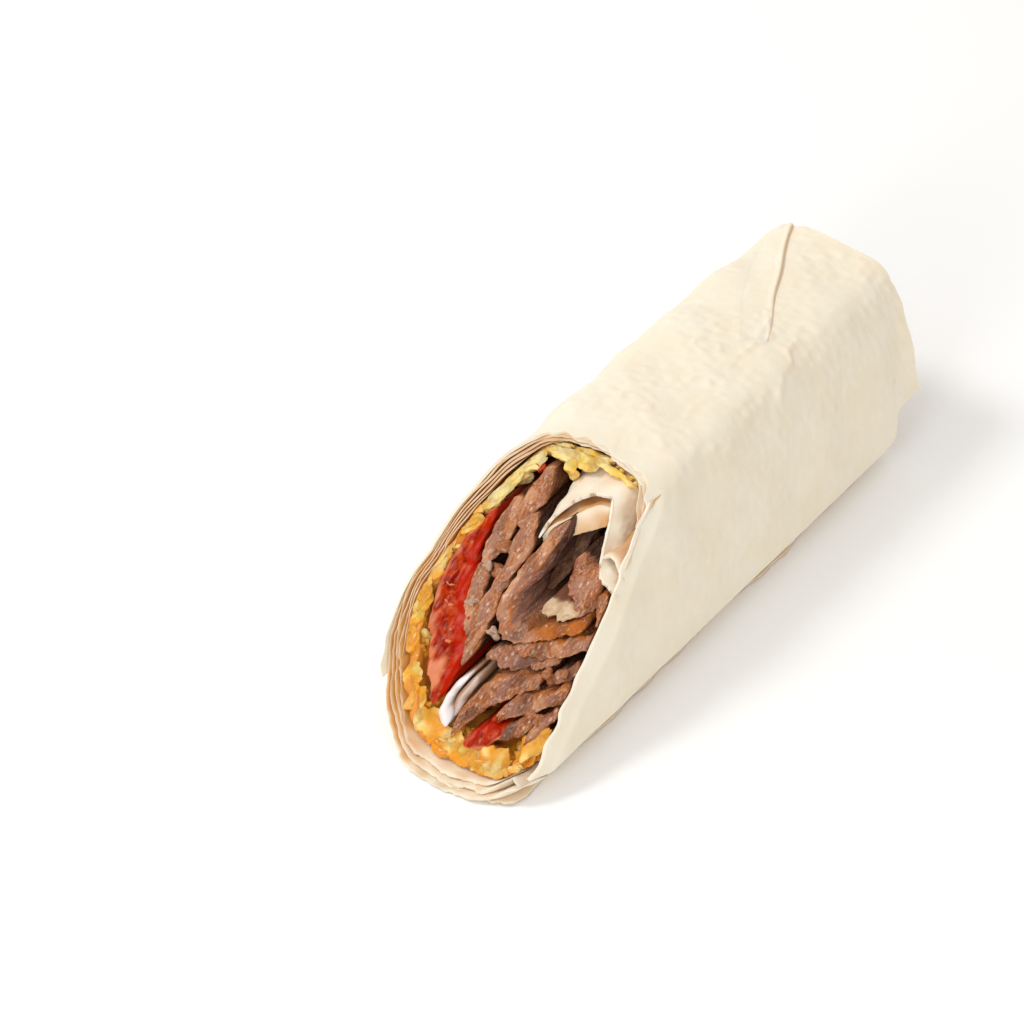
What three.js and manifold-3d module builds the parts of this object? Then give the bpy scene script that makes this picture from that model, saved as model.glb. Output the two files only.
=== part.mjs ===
// Half of a meat wrap: thin flatbread rolled round sliced meat, tomato, onion and crisps,
// cut on a long slant. The roll lies along X, open at -X, folded shut at +X, +Z up.
// Lengths are in millimetres. Section points are [side, height] seen along the roll.
import * as THREE from 'three';
import { mergeVertices } from 'three/addons/utils/BufferGeometryUtils.js';
import Module from 'manifold-3d';

const wasm = await Module();
wasm.setup();

// The roll and its cut; the shift puts the middle of the footprint at the origin, and what is cut away
// reaches past what it cuts
const CUT_TIP_X = -82;
const CUT_SLOPE = 1.6;
const FAR_X = 82;
const SIDE_SHIFT = 0.5;
const FILLING_END_X = 64;
const CLEARANCE = 0.3;
const REACH = 9;

// One turn of bread, the outermost turn's start as a share of the way round, and its overhang at the cut
const TURN_THICKNESS = 1.1;
const OUTER_TURN_START = 0.31;
const OUTER_TURN_OVERHANG = 0.5;
const INNER_TURNS_DEPTH = 0.77;
const TURN_OVERLAP = 0.05;

// How the cut presses the near wall inwards, and how far back that fades
const PRESS_DEPTH = 1.9;
const PRESS_LENGTH = 6;
const PRESS_SIDES = [9, 21];

// Uneven surface of the soft bread, flat where it rests
const BUMP_HEIGHT = 0.35;
const BUMP_LENGTH = 3.65;
const BUMP_DRIFT = 31;
const BUMPS_ROUND = 3;
const BUMP_FADE = [4, 14];
const SECTION_CENTRE = [0, 22];

// Slits between the turns that show at the cut
const SHEET_PITCH = 0.95;
const SLIT_WIDTH = 0.32;
const SLIT_DEPTH = 3;
const SLIT_TURNS = 3;
const SLIT_MARGIN = 0.55;

// The coil of tucked-in margins at the folded end: its slit, and how each step draws it in
const COIL_STEPS = 44;
const COIL_SKIP = 3;
const COIL_OUTER = 0.88;
const COIL_SHRINK = 0.014;
const COIL_SLIT = 1.1;
const COIL_DEPTH = 2;

// The last of the inner turns ends short of the outer one, most of all low down
const INNER_END_LOW = 70;
const INNER_END_HIGH = 78;
const INNER_END_RISE = [6, 24];

const ROLL_OUTLINE = [
  [-26.8, 5.8], [-24.6, 2.8], [-20.5, 0.9], [-8, -0.6], [3, 0], [12, 3.8], [20.5, 9.6], [25, 16.5],
  [25.3, 28], [22.8, 36], [16.5, 42.8], [8, 44.5], [-5, 44.4], [-13.2, 43], [-17.8, 38.5], [-22, 27.8],
  [-25.8, 14.5],
];
const FILLING_OUTLINE = [
  [-24.2, 8], [-20.5, 4.2], [-9, 2.4], [2, 2.6], [9.8, 5.4], [16.5, 10.8], [21.4, 17], [22.2, 22],
  [21.4, 29], [18, 36.2], [13, 41.8], [6, 43.2], [-4, 43.2], [-10.6, 41.8], [-14.6, 37.6], [-19.3, 27.8],
  [-23, 14.5],
];
const OUTLINE_STEPS = 72;
const LENGTH_STEPS = 18;

// Loose turns of bread inside the mouth: [side, height, thickness] along each sheet
const INNER_SHEETS = [
  [[-13.2, 40.9, 1], [-11, 40.6, 1], [-5.5, 39.8, 1], [-1, 38.2, 1], [1.6, 35.8, 1], [3.2, 32, 1]],
  [[-10.4, 40, 1], [-6, 38.2, 1], [-2.6, 36.2, 1], [0.4, 33.9, 1]],
  [[-8.4, 39.8, 1], [-10.4, 37, 1], [-12.2, 34.6, 1], [-12.6, 32.4, 1], [-14.6, 30.8, 1], [-18.6, 29.6, 0.8]],
];
const INNER_SHEET_END_X = 38;

// The flat end of the sheet that the roll rests on: corner points [x, side] and its thickness
const BASE_FLAP = [[-81, -6], [-80.4, -14], [-79, -19], [-76.8, -23.2], [-73, -24.2], [68, -24.2], [72, -6]];
const BASE_FLAP_THICKNESS = 0.8;

// The outer turn's loose edge rises towards the folded end: corner points [x, height]
const LOOSE_EDGE = [[-102, 5], [48, 5], [68, 13], [80, 15], [93, 15]];

// The pleat on top of the folded end, from its wide end to its point: [x, side]
const PLEAT_FROM = [82, 14];
const PLEAT_TO = [43, -7];
const PLEAT_WIDTH = 6;
const PLEAT_HEIGHT = 0.9;
const PLEAT_BASE = 43.2;

// Meat slices: how far each stands out of the cut, and [side, height, thickness] along it
const MEAT_SLICES = [
  { out: 1.5, line: [[-1.2, 33.6, 3.2], [-0.4, 30.5, 4.2], [0.9, 26.6, 4.2], [1, 23.4, 3.4],
    [-1.6, 20.9, 2.4], [-5.6, 20.6, 1.8], [-10.5, 22.1, 1.8], [-17.2, 24.8, 1.8]] },
  { out: 0.5, line: [[-7.8, 31.2, 3], [-11.2, 29.2, 4.4], [-14.6, 27.2, 4]] },
  { out: 1, line: [[5.8, 25.6, 2.6], [5.6, 23, 3.6], [4.6, 19.5, 3.4], [3.4, 15.2, 2]] },
  { out: 1.5, line: [[-3.5, 7.7, 1.8], [-4.6, 10.8, 3.6], [-7.2, 13.4, 3.6], [-11, 15.2, 2.8],
    [-14.6, 16.6, 1.6]] },
  { out: 0.5, line: [[-5.6, 18.6, 1.2], [-11.5, 19.8, 2.2], [-17, 21.6, 2.2], [-21.2, 23.2, 1.8]] },
  { out: -0.5, line: [[-0.8, 16, 1.6], [-5.5, 17, 2.6], [-11, 17.8, 1.8], [-16, 19.2, 1.2]] },
  { out: 0.8, line: [[-11, 11.2, 2], [-13.6, 12.9, 2.8], [-17.4, 14.4, 2.4], [-22, 16.4, 1.8]] },
  { out: 0, line: [[-13.6, 8.6, 1.4], [-16.2, 10.3, 2.4], [-18.2, 11.4, 1.6]] },
  { out: 0, line: [[-19.6, 9.6, 1.6], [-20.6, 11.8, 2.2], [-22, 13.6, 1.8]] },
  { out: 1.2, line: [[9.8, 40.2, 2.6], [9.2, 38.2, 4.4], [9, 35.2, 4.4], [8.6, 32.8, 2.4]] },
  { out: 1.2, line: [[7.2, 32.8, 2.6], [5.8, 30, 4.6], [5.2, 26.8, 2.6]] },
  { out: 0.8, line: [[12.6, 33.6, 2.6], [11.8, 31, 4.8], [11.6, 28, 4]] },
  { out: -0.8, line: [[11.6, 25, 2.6], [10.4, 22.6, 2.8], [8.8, 20.4, 2.6], [6.6, 18.2, 1.8]] },
  { out: 0, line: [[-17.2, 28, 1.8], [-20, 25.8, 2.2]] },
  { out: -4, line: [[-5.2, 33.4, 2.6], [-4.6, 29.5, 3.2], [-3.6, 25.5, 3]] },
  { out: -1, line: [[-17.2, 17.1, 1.6], [-20.6, 18.5, 1.8]] },
];
const FAT_STRIP = { out: 0.5, line: [[-6.6, 24.2, 1.4], [-10.6, 24.7, 1.6], [-14.2, 25.9, 1]] };
const TOMATO_SLICE = { out: 0, line: [[16.4, 30.4, 2], [16.4, 26.5, 4.2], [15, 22.3, 6], [11.6, 18.6, 6.4],
  [8, 15.2, 6.4], [5.6, 12, 6], [4.8, 9, 3]] };
const TOMATO_END = { out: 0.5, line: [[-7.4, 6.3, 2], [-10.4, 7.4, 2.8], [-13, 8.8, 1.4]] };
const ONION_RING = { out: 2, line: [[0.3, 13.4, 1.4], [1.4, 11.4, 2], [1.2, 9.2, 2.2], [-0.6, 7, 1.6]] };
const ONION_SLIVER = { out: 0.5, line: [[-1.8, 14.6, 1], [-1.6, 11.4, 1.6], [-0.9, 8.9, 1]] };

// The layer of crisps between bread and filling, thick and thin in turns
const CRISP_LAYER_END = 0.755;
const CRISP_THIN = 1.5;
const CRISP_SWELL = 2.1;
const CRISP_LUMPS = 11;
const CRISP_UNEVENNESS = 9;
const CRISP_STEPS = 84;

function cutX(height, out = 0) {
  return CUT_TIP_X + CUT_SLOPE * height - out;
}

function smoothRing(points, count) {
  const corners = points.map(([y, z]) => new THREE.Vector3(y, z, 0));
  const curve = new THREE.CatmullRomCurve3(corners, true, 'centripetal');
  return curve.getSpacedPoints(count).slice(0, count).map((p) => new THREE.Vector2(p.x, p.y));
}

// A ring's points moved inwards, each by its own distance; the ring runs anticlockwise
function inset(ring, distanceAt) {
  return ring.map((point, i) => {
    const before = ring[(i + ring.length - 1) % ring.length];
    const after = ring[(i + 1) % ring.length];
    const along = after.clone().sub(before).normalize();
    const inward = new THREE.Vector2(-along.y, along.x);
    return point.clone().addScaledVector(inward, distanceAt(i / ring.length, point));
  });
}

// A strip of the stated thickness along a smooth line, with blunt pointed ends
function stripOutline(line, grow = 0) {
  const middle = new THREE.CatmullRomCurve3(line.map((p) => new THREE.Vector3(...p)), false, 'centripetal');
  const stations = middle.getPoints(3 * (line.length - 1));
  const left = [];
  const right = [];
  stations.forEach((p, i) => {
    const before = stations[Math.max(i - 1, 0)];
    const after = stations[Math.min(i + 1, stations.length - 1)];
    const along = new THREE.Vector2(after.x - before.x, after.y - before.y).normalize();
    const half = p.z / 2 + grow;
    const side = new THREE.Vector2(-along.y, along.x).multiplyScalar(half);
    const centre = new THREE.Vector2(p.x, p.y);
    left.push(centre.clone().add(side));
    right.push(centre.clone().sub(side));
    if (i === 0) right.unshift(centre.clone().addScaledVector(along, -0.8 * half));
    if (i === stations.length - 1) right.push(centre.clone().addScaledVector(along, 0.8 * half));
  });
  return right.concat(left.reverse());
}

function toSolid(geometry) {
  geometry.deleteAttribute('normal');
  geometry.deleteAttribute('uv');
  const merged = mergeVertices(geometry, 1e-5);
  return new wasm.Manifold(new wasm.Mesh({
    numProp: 3,
    vertProperties: Float32Array.from(merged.attributes.position.array),
    triVerts: Uint32Array.from(merged.index.array),
  }));
}

// An outline drawn across the roll, run along it from one face to another
function prism(outline, front, back, steps = 1, reshape = null) {
  const shape = new THREE.Shape(outline);
  const geometry = new THREE.ExtrudeGeometry(shape, { depth: 1, steps, bevelEnabled: false });
  const position = geometry.attributes.position;
  for (let i = 0; i < position.count; i += 1) {
    const y = position.getX(i);
    const z = position.getY(i);
    const x = THREE.MathUtils.lerp(front(y, z), back(y, z), position.getZ(i));
    const [sideways, up] = reshape ? reshape(x, y, z) : [y, z];
    position.setXYZ(i, x, sideways + SIDE_SHIFT, up);
  }
  return toSolid(geometry);
}

// Shallow swellings of the bread, and its near wall pressed inwards at the cut
function breadSurface(x, y, z) {
  const [centreY, centreZ] = SECTION_CENTRE;
  const angle = Math.atan2(z - centreZ, y - centreY);
  const wave = Math.sin(x / BUMP_LENGTH + 2 * angle) * Math.sin(BUMPS_ROUND * angle + x / BUMP_DRIFT);
  const swell = BUMP_HEIGHT * wave * THREE.MathUtils.smoothstep(z, ...BUMP_FADE);
  const nearSide = THREE.MathUtils.smoothstep(-y, ...PRESS_SIDES);
  const press = PRESS_DEPTH * nearSide * Math.exp(-Math.max(x - cutX(z), 0) / PRESS_LENGTH);
  return [y + swell * Math.cos(angle) + press, z + swell * Math.sin(angle)];
}

function innerEndX(y, z) {
  const rise = THREE.MathUtils.smoothstep(z, ...INNER_END_RISE);
  return THREE.MathUtils.lerp(INNER_END_LOW, INNER_END_HIGH, rise);
}

function wallThickness(point, space) {
  return Math.min(...space.map((p) => p.distanceTo(point)));
}

// The rolled turns, one inside the other, without the outermost one's loose end
function innerTurns(ring) {
  const bare = (t) => THREE.MathUtils.smoothstep(t, 0, 0.03) - THREE.MathUtils.smoothstep(t, 0.3, 0.4);
  const outline = inset(ring, (t) => INNER_TURNS_DEPTH * (1 - bare(t)));
  return prism(outline, (y, z) => cutX(z), innerEndX, LENGTH_STEPS, breadSurface);
}

// The outermost turn, from the far side over the top and down to its loose edge
function outerTurn(ring) {
  const first = Math.round(OUTER_TURN_START * OUTLINE_STEPS);
  const taper = (t) => TURN_THICKNESS * THREE.MathUtils.smoothstep(t, 0.3, 0.42);
  const inner = inset(ring, (t) => TURN_OVERLAP + taper(t === 0 ? 1 : t));
  const over = [...ring.slice(first), ring[0]];
  const under = [...inner.slice(first), inner[0]];
  const front = (y, z) => cutX(z, OUTER_TURN_OVERHANG);
  const turn = prism(over.concat(under.reverse()), front, () => FAR_X, LENGTH_STEPS, breadSurface);
  const below = [...LOOSE_EDGE, [93, -5], [-102, -5]].map(([x, z]) => new THREE.Vector2(x, z));
  const wedge = new THREE.ExtrudeGeometry(new THREE.Shape(below), { depth: 30, bevelEnabled: false });
  wedge.rotateX(Math.PI / 2);
  wedge.translate(0, -10, 0);
  return turn.subtract(toSolid(wedge));
}

// The slits lie wherever the wall is thick enough for them
function turnSlits(ring, space) {
  const slits = [];
  for (let turn = 1; turn <= SLIT_TURNS; turn += 1) {
    const depth = turn * SHEET_PITCH;
    const path = ring.filter((p) => wallThickness(p, space) > depth + SLIT_MARGIN);
    const cut = inset(path, () => depth).slice(2, -2).map((p) => [p.x, p.y, SLIT_WIDTH]);
    const outline = stripOutline(cut.filter((p, i) => i % 2 === 0));
    slits.push(prism(outline, (y, z) => cutX(z, SLIT_DEPTH), (y, z) => cutX(z, -SLIT_DEPTH)));
  }
  return slits;
}

function endCoil(ring) {
  const [centreY, centreZ] = SECTION_CENTRE;
  const line = [];
  for (let i = 0; i <= COIL_STEPS; i += 1) {
    const p = ring[(i * COIL_SKIP) % OUTLINE_STEPS];
    const shrink = COIL_OUTER - COIL_SHRINK * i;
    line.push([centreY + (p.x - centreY) * shrink, centreZ + (p.y - centreZ) * shrink, COIL_SLIT]);
  }
  return prism(stripOutline(line), (y, z) => innerEndX(y, z) - COIL_DEPTH, () => FAR_X);
}

// The pleat follows the bread's surface: a tall wedge cut down to a slightly fuller roll
function pleat(ring) {
  const along = new THREE.Vector2(PLEAT_TO[0] - PLEAT_FROM[0], PLEAT_TO[1] - PLEAT_FROM[1]);
  const shape = new THREE.Shape([
    new THREE.Vector2(0, -PLEAT_WIDTH / 2),
    new THREE.Vector2(along.length(), 0),
    new THREE.Vector2(0, PLEAT_WIDTH / 2),
  ]);
  const wedge = new THREE.ExtrudeGeometry(shape, { depth: 6, bevelEnabled: false });
  wedge.rotateZ(along.angle());
  wedge.translate(PLEAT_FROM[0], PLEAT_FROM[1] + SIDE_SHIFT, PLEAT_BASE);
  const fuller = inset(ring, () => -PLEAT_HEIGHT);
  return toSolid(wedge).intersect(prism(fuller, (y, z) => cutX(z), () => FAR_X, LENGTH_STEPS, breadSurface));
}

function baseFlap() {
  const shape = new THREE.Shape(BASE_FLAP.map(([x, y]) => new THREE.Vector2(x, y + SIDE_SHIFT)));
  return toSolid(new THREE.ExtrudeGeometry(shape, { depth: BASE_FLAP_THICKNESS, bevelEnabled: false }));
}

function tableCut() {
  const below = new THREE.BoxGeometry(400, 200, 40);
  below.translate(0, 0, -20);
  return toSolid(below);
}

function slicePrism({ out, line }, grow = 0) {
  const reach = grow > 0 ? REACH : 0;
  return prism(stripOutline(line, grow), (y, z) => cutX(z, out + reach), () => FILLING_END_X + reach);
}

const rollRing = smoothRing(ROLL_OUTLINE, OUTLINE_STEPS);
const spaceRing = smoothRing(FILLING_OUTLINE, OUTLINE_STEPS);
const filledSpace = prism(inset(spaceRing, () => CLEARANCE), (y, z) => cutX(z, 6), () => FILLING_END_X);

function breadBody() {
  const hollow = prism(spaceRing, (y, z) => cutX(z, REACH), () => FILLING_END_X + CLEARANCE);
  let bread = innerTurns(rollRing).add(outerTurn(rollRing)).add(pleat(rollRing)).subtract(hollow);
  for (const line of INNER_SHEETS) {
    const sheet = prism(stripOutline(line), (y, z) => cutX(z, 0.3), () => INNER_SHEET_END_X);
    bread = bread.add(sheet);
  }
  for (const slit of turnSlits(rollRing, spaceRing)) bread = bread.subtract(slit);
  return bread.subtract(endCoil(rollRing)).add(baseFlap()).subtract(tableCut());
}

function crispLayer() {
  const phase = (t) => Math.PI * CRISP_LUMPS * t + Math.sin(CRISP_UNEVENNESS * t);
  const lumpy = (t) => CRISP_THIN + CRISP_SWELL * Math.abs(Math.sin(phase(t)));
  const ring = smoothRing(FILLING_OUTLINE, CRISP_STEPS);
  const outer = inset(ring, () => CLEARANCE);
  const inner = inset(ring, (t) => CLEARANCE + lumpy(t));
  const last = Math.round(CRISP_LAYER_END * CRISP_STEPS);
  const outline = outer.slice(0, last).concat(inner.slice(0, last).reverse());
  return prism(outline, (y, z) => cutX(z, 0.5), () => FILLING_END_X);
}

function largestPiece(solid) {
  return solid.decompose().sort((a, b) => b.volume() - a.volume())[0];
}

const group = new THREE.Group();
function addNode(name, solid, color, roughness) {
  const { vertProperties, triVerts } = solid.getMesh();
  const geometry = new THREE.BufferGeometry();
  geometry.setAttribute('position', new THREE.BufferAttribute(vertProperties, 3));
  geometry.setIndex(new THREE.BufferAttribute(triVerts, 1));
  geometry.computeVertexNormals();
  const mesh = new THREE.Mesh(geometry, new THREE.MeshStandardMaterial({ color, roughness, metalness: 0 }));
  mesh.name = name;
  group.add(mesh);
}

const FLATBREAD_COLOUR = '#f2e6cd';
const MEAT_COLOUR = '#7d5648';
const FAT_COLOUR = '#b39a88';
const TOMATO_COLOUR = '#c23420';
const ONION_COLOUR = '#e6e1da';
const CRISP_COLOUR = '#e0b040';

addNode('lavash', largestPiece(breadBody()), FLATBREAD_COLOUR, 0.85);

// Each filling piece gives way to the bread and to the pieces placed before it
const sheetSpace = (line) => prism(
  stripOutline(line, CLEARANCE),
  (y, z) => cutX(z, REACH),
  () => INNER_SHEET_END_X + CLEARANCE,
);
let taken = INNER_SHEETS.map(sheetSpace).reduce((a, b) => a.add(b));
function addFilling(name, slice, color, roughness) {
  const solid = largestPiece(slicePrism(slice).intersect(filledSpace).subtract(taken));
  addNode(name, solid, color, roughness);
  taken = taken.add(slicePrism(slice, CLEARANCE));
}

addFilling('tomato_slice', TOMATO_SLICE, TOMATO_COLOUR, 0.35);
addFilling('onion_ring', ONION_RING, ONION_COLOUR, 0.4);
MEAT_SLICES.forEach((slice, i) => {
  addFilling(`meat_slice_${String(i + 1).padStart(2, '0')}`, slice, MEAT_COLOUR, 0.6);
});
addFilling('fat_strip', FAT_STRIP, FAT_COLOUR, 0.5);
addFilling('onion_sliver', ONION_SLIVER, ONION_COLOUR, 0.4);
addFilling('tomato_end', TOMATO_END, TOMATO_COLOUR, 0.35);
addNode('crisp_layer', largestPiece(crispLayer().subtract(taken)), CRISP_COLOUR, 0.7);

export default group;
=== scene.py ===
"""Half of a meat wrap, cut on a long slant: thin bread rolled round sliced meat, tomato, onion and crisps.

The roll lies along X, open at -X and folded shut at +X. Sizes are in millimetres, and points are
[x, side, height], where side and height are seen across the roll. shell() turns them to metres.
"""

import math

import bpy
import numpy as np
from mathutils import Euler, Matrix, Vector


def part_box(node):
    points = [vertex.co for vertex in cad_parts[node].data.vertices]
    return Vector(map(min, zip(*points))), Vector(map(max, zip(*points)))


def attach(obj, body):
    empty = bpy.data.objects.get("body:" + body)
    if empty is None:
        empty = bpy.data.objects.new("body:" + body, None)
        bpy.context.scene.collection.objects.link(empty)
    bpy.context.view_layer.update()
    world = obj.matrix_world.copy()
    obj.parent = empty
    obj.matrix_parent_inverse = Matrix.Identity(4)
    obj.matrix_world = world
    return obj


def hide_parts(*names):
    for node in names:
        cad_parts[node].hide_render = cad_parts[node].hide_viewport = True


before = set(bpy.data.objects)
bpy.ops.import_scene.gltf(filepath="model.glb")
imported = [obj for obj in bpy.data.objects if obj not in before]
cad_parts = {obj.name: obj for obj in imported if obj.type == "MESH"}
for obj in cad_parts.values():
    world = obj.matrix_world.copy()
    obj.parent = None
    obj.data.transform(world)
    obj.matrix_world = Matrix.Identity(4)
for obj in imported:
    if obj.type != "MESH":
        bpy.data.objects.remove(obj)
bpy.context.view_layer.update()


# Camera, floor and light: a long lens looks down at the cut from the front left. A pale paper floor,
# a bright even room, one large soft lamp over the far side of the roll and a weaker one before the cut.
CAMERA_AIM = Vector((-18.57, 21.34, 20)) / 1000
CAMERA_DISTANCE = 0.90847
CAMERA_AZIMUTH = math.radians(-53)
CAMERA_ELEVATION = math.radians(42)
CAMERA_LENS = 140.625
FLOOR_SIZE = 8
FLOOR_DROP = 0.0003
FLOOR_COLOUR = "#fefefe"
ROOM_COLOUR = "#fdfbf8"
ROOM_STRENGTH = 0.77
LAMPS = {
    "key": {"place": Vector((-0.3, 0.62, 0.9)), "size": 0.3, "power": 4.2},
    "fill": {"place": Vector((-1.0, -0.15, 0.5)), "size": 0.35, "power": 2.2},
}


def linear(colour):
    """An sRGB hex colour as linear light: ((c + 0.055) / 1.055) to the power 2.4 where c is above 0.04045,
    else c / 12.92."""
    parts = [int(colour[i:i + 2], 16) / 255 for i in (1, 3, 5)]
    return [((c + 0.055) / 1.055) ** 2.4 if c > 0.04045 else c / 12.92 for c in parts] + [1.0]


def add_node(tree, kind, links=None, stops=(), **settings):
    """Adds a node. links maps an input's name or number to a socket or a value, stops are the places and
    colours of a ramp, lowest first, and settings are the node's own."""
    node = tree.nodes.new("ShaderNode" + kind)
    for name, value in settings.items():
        setattr(node, name, value)
    for name, value in (links or {}).items():
        if isinstance(value, bpy.types.NodeSocket):
            tree.links.new(value, node.inputs[name])
        elif isinstance(value, str) and value.startswith("#"):
            node.inputs[name].default_value = linear(value)
        else:
            node.inputs[name].default_value = value
    for number, (position, colour) in enumerate(stops):
        ramp = node.color_ramp.elements
        stop = ramp[number] if number < len(ramp) else ramp.new(position)
        stop.position = position
        stop.color = linear(colour)
    return node


def new_material(name):
    """An empty node material; returns it with its tree."""
    material = bpy.data.materials.new(name)
    material.use_nodes = True
    material.node_tree.nodes.clear()
    return material, material.node_tree


towards_camera = Vector((
    math.cos(CAMERA_ELEVATION) * math.sin(CAMERA_AZIMUTH),
    -math.cos(CAMERA_ELEVATION) * math.cos(CAMERA_AZIMUTH),
    math.sin(CAMERA_ELEVATION),
))
camera = bpy.data.objects.new("camera", bpy.data.cameras.new("camera"))
camera.data.lens = CAMERA_LENS
camera.data.sensor_width = 36
camera.data.clip_end = 20
camera.location = CAMERA_AIM + CAMERA_DISTANCE * towards_camera
camera.rotation_euler = towards_camera.to_track_quat("Z", "Y").to_euler()
bpy.context.scene.collection.objects.link(camera)
bpy.context.scene.camera = camera
bpy.context.scene.view_settings.view_transform = "Standard"

floor_mesh = bpy.data.meshes.new("floor")
half_floor = FLOOR_SIZE / 2
corners = [(x * half_floor, y * half_floor, -FLOOR_DROP) for x, y in ((-1, -1), (1, -1), (1, 1), (-1, 1))]
floor_mesh.from_pydata(corners, [], [(0, 1, 2, 3)])
floor = bpy.data.objects.new("floor", floor_mesh)
bpy.context.scene.collection.objects.link(floor)
paper, tree = new_material("matte_white_paper")
surface = add_node(tree, "BsdfPrincipled", {"Base Color": FLOOR_COLOUR, "Roughness": 0.9})
add_node(tree, "OutputMaterial", {"Surface": surface.outputs[0]})
floor_mesh.materials.append(paper)

world = bpy.data.worlds.new("room")
world.use_nodes = True
world.node_tree.nodes["Background"].inputs["Color"].default_value = linear(ROOM_COLOUR)
world.node_tree.nodes["Background"].inputs["Strength"].default_value = ROOM_STRENGTH
bpy.context.scene.world = world
for name, lamp in LAMPS.items():
    light = bpy.data.objects.new(name, bpy.data.lights.new(name, "AREA"))
    light.data.size = lamp["size"]
    light.data.energy = lamp["power"]
    light.location = lamp["place"]
    light.rotation_euler = lamp["place"].to_track_quat("Z", "Y").to_euler()
    bpy.context.scene.collection.objects.link(light)


# Outermost turn of bread: one soft sheet of thin flatbread, rolled out and baked pale on a hot plate, so it
# has shallow blisters and creases. It starts under the far side, goes over the top and ends in a loose edge
# low on the near side. The knife has pressed its near side inwards along the cut.
CUT_TIP_X = -82
CUT_SLOPE = 1.6
SIDE_SHIFT = 0.5
FAR_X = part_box("lavash")[1].x * 1000
ROLL_OUTLINE = [
    [-26.8, 5.8], [-24.6, 2.8], [-20.5, 0.9], [-8, -0.6], [3, 0], [12, 3.8], [20.5, 9.6], [25, 16.5],
    [25.3, 28], [22.8, 36], [16.5, 42.8], [8, 44.5], [-5, 44.4], [-13.2, 43], [-17.8, 38.5], [-22, 27.8],
    [-25.8, 14.5],
]
SECTION_CENTRE = [0, 22]
OUTER_TURN_START = 0.31
OUTER_TURN_ROUND = 90
OUTER_TURN_THICKNESS = 0.75
OUTER_TURN_OVERHANG = 0.5
NEAR_SIDE = (0.76, 0.9999)
LOOSE_EDGE = [[-102, 5], [40, 4.8], [66, 4.2], [68.5, 5.2], [70.5, 12.6], [72, 13.4], [82, 12.3], [93, 12.3]]
LOOSE_LOW, LOOSE_HIGH = 4.8, 12.5
PRESS_DEPTH = 1.9
PRESS_LENGTH = 4.6
PRESS_RIDGE = 0.25
SWELL_HEIGHT = 0.35
FAR_TAPER = 1.8
NEAR_TAPER = 1.3
BLISTER_COUNT = 520
BLISTER_RADII = (1.3, 3.8)
BLISTER_HEIGHT = 0.27
MARK_WIDTH = 0.7
WRINKLES = [
    {"line": [[46.5, -11.6], [42, -12.2], [41, -14], [36, -15], [31.5, -17]], "height": 0.5},
    {"line": [[50, -1], [46, -4.2], [43, -7]], "height": 0.3},
    {"line": [[42, -7], [38, -5.5], [33.5, -4.8], [28, -5.5]], "height": 0.3},
    {"line": [[20, -9], [14, -6.5], [8, -7.5]], "height": 0.25},
    {"line": [[-6, 1], [-12, -2], [-15, -7]], "height": 0.25},
]
RING_BLISTERS = [
    [31.3, 2.6, 2.4, 0.3], [6.5, 4.3, 3.2, 0.25], [20, -3.6, 2.0, 0.25], [-3, -6, 2.6, 0.2],
    [40, 4, 1.8, 0.2],
]
BREAD_PALE = "#f5ead6"
BREAD_CREAM = "#f2e5ce"
BREAD_CRUMB_AND_SHADE = "#d4984f"
BREAD_TOAST = "#dfab6e"
TOASTED_SHARE = 0.08


def smoothstep(value, low, high):
    """3 r squared minus 2 r cubed, where r goes from 0 at low to 1 at high."""
    r = np.clip((value - low) / (high - low), 0, 1)
    return r * r * (3 - 2 * r)


def waves(place, length, seed, count=14):
    """Sum of plane waves in random directions, of about the given length, over the root of half their number.
    place holds one array for each direction in space."""
    draw = np.random.default_rng(seed)
    points = np.stack(np.broadcast_arrays(*place), -1)
    directions = draw.normal(size=(count, len(place)))
    directions /= np.linalg.norm(directions, axis=1, keepdims=True) * draw.uniform(0.65, 1.5, (count, 1))
    phases = draw.uniform(0, 2 * np.pi, count)
    return np.sin(points @ directions.T * (2 * np.pi / length) + phases).sum(-1) / math.sqrt(count / 2)


def spline(points, count, closed=False):
    """Centripetal Catmull-Rom curve through the points, stepped evenly along its first two columns."""
    p = np.asarray(points, float)
    p = np.vstack([p[-1:], p, p[:2]]) if closed else np.vstack([2 * p[0] - p[1], p, 2 * p[-1] - p[-2]])
    gap = np.sqrt(np.linalg.norm(np.diff(p, axis=0), axis=1))[:, None]
    g0, g1, g2 = gap[:-2], gap[1:-1], gap[2:]
    p0, p1, p2, p3 = p[:-3], p[1:-2], p[2:-1], p[3:]
    m1 = g1 * ((p1 - p0) / g0 - (p2 - p0) / (g0 + g1)) + (p2 - p1)
    m2 = g1 * ((p3 - p2) / g2 - (p3 - p1) / (g1 + g2)) + (p2 - p1)
    r = np.linspace(0, 1, 32, endpoint=False)[None, :, None]
    p1, p2, m1, m2 = (a[:, None, :] for a in (p1, p2, m1, m2))
    curve = p1 + r * m1 + r * r * (3 * (p2 - p1) - 2 * m1 - m2) + r ** 3 * (2 * (p1 - p2) + m1 + m2)
    curve = np.vstack([curve.reshape(-1, p.shape[1]), p2[-1]])
    length = np.r_[0, np.cumsum(np.linalg.norm(np.diff(curve[:, :2], axis=0), axis=1))]
    stops = np.linspace(0, length[-1], count, endpoint=not closed)
    return np.stack([np.interp(stops, length, column) for column in curve.T], axis=-1)


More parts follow.
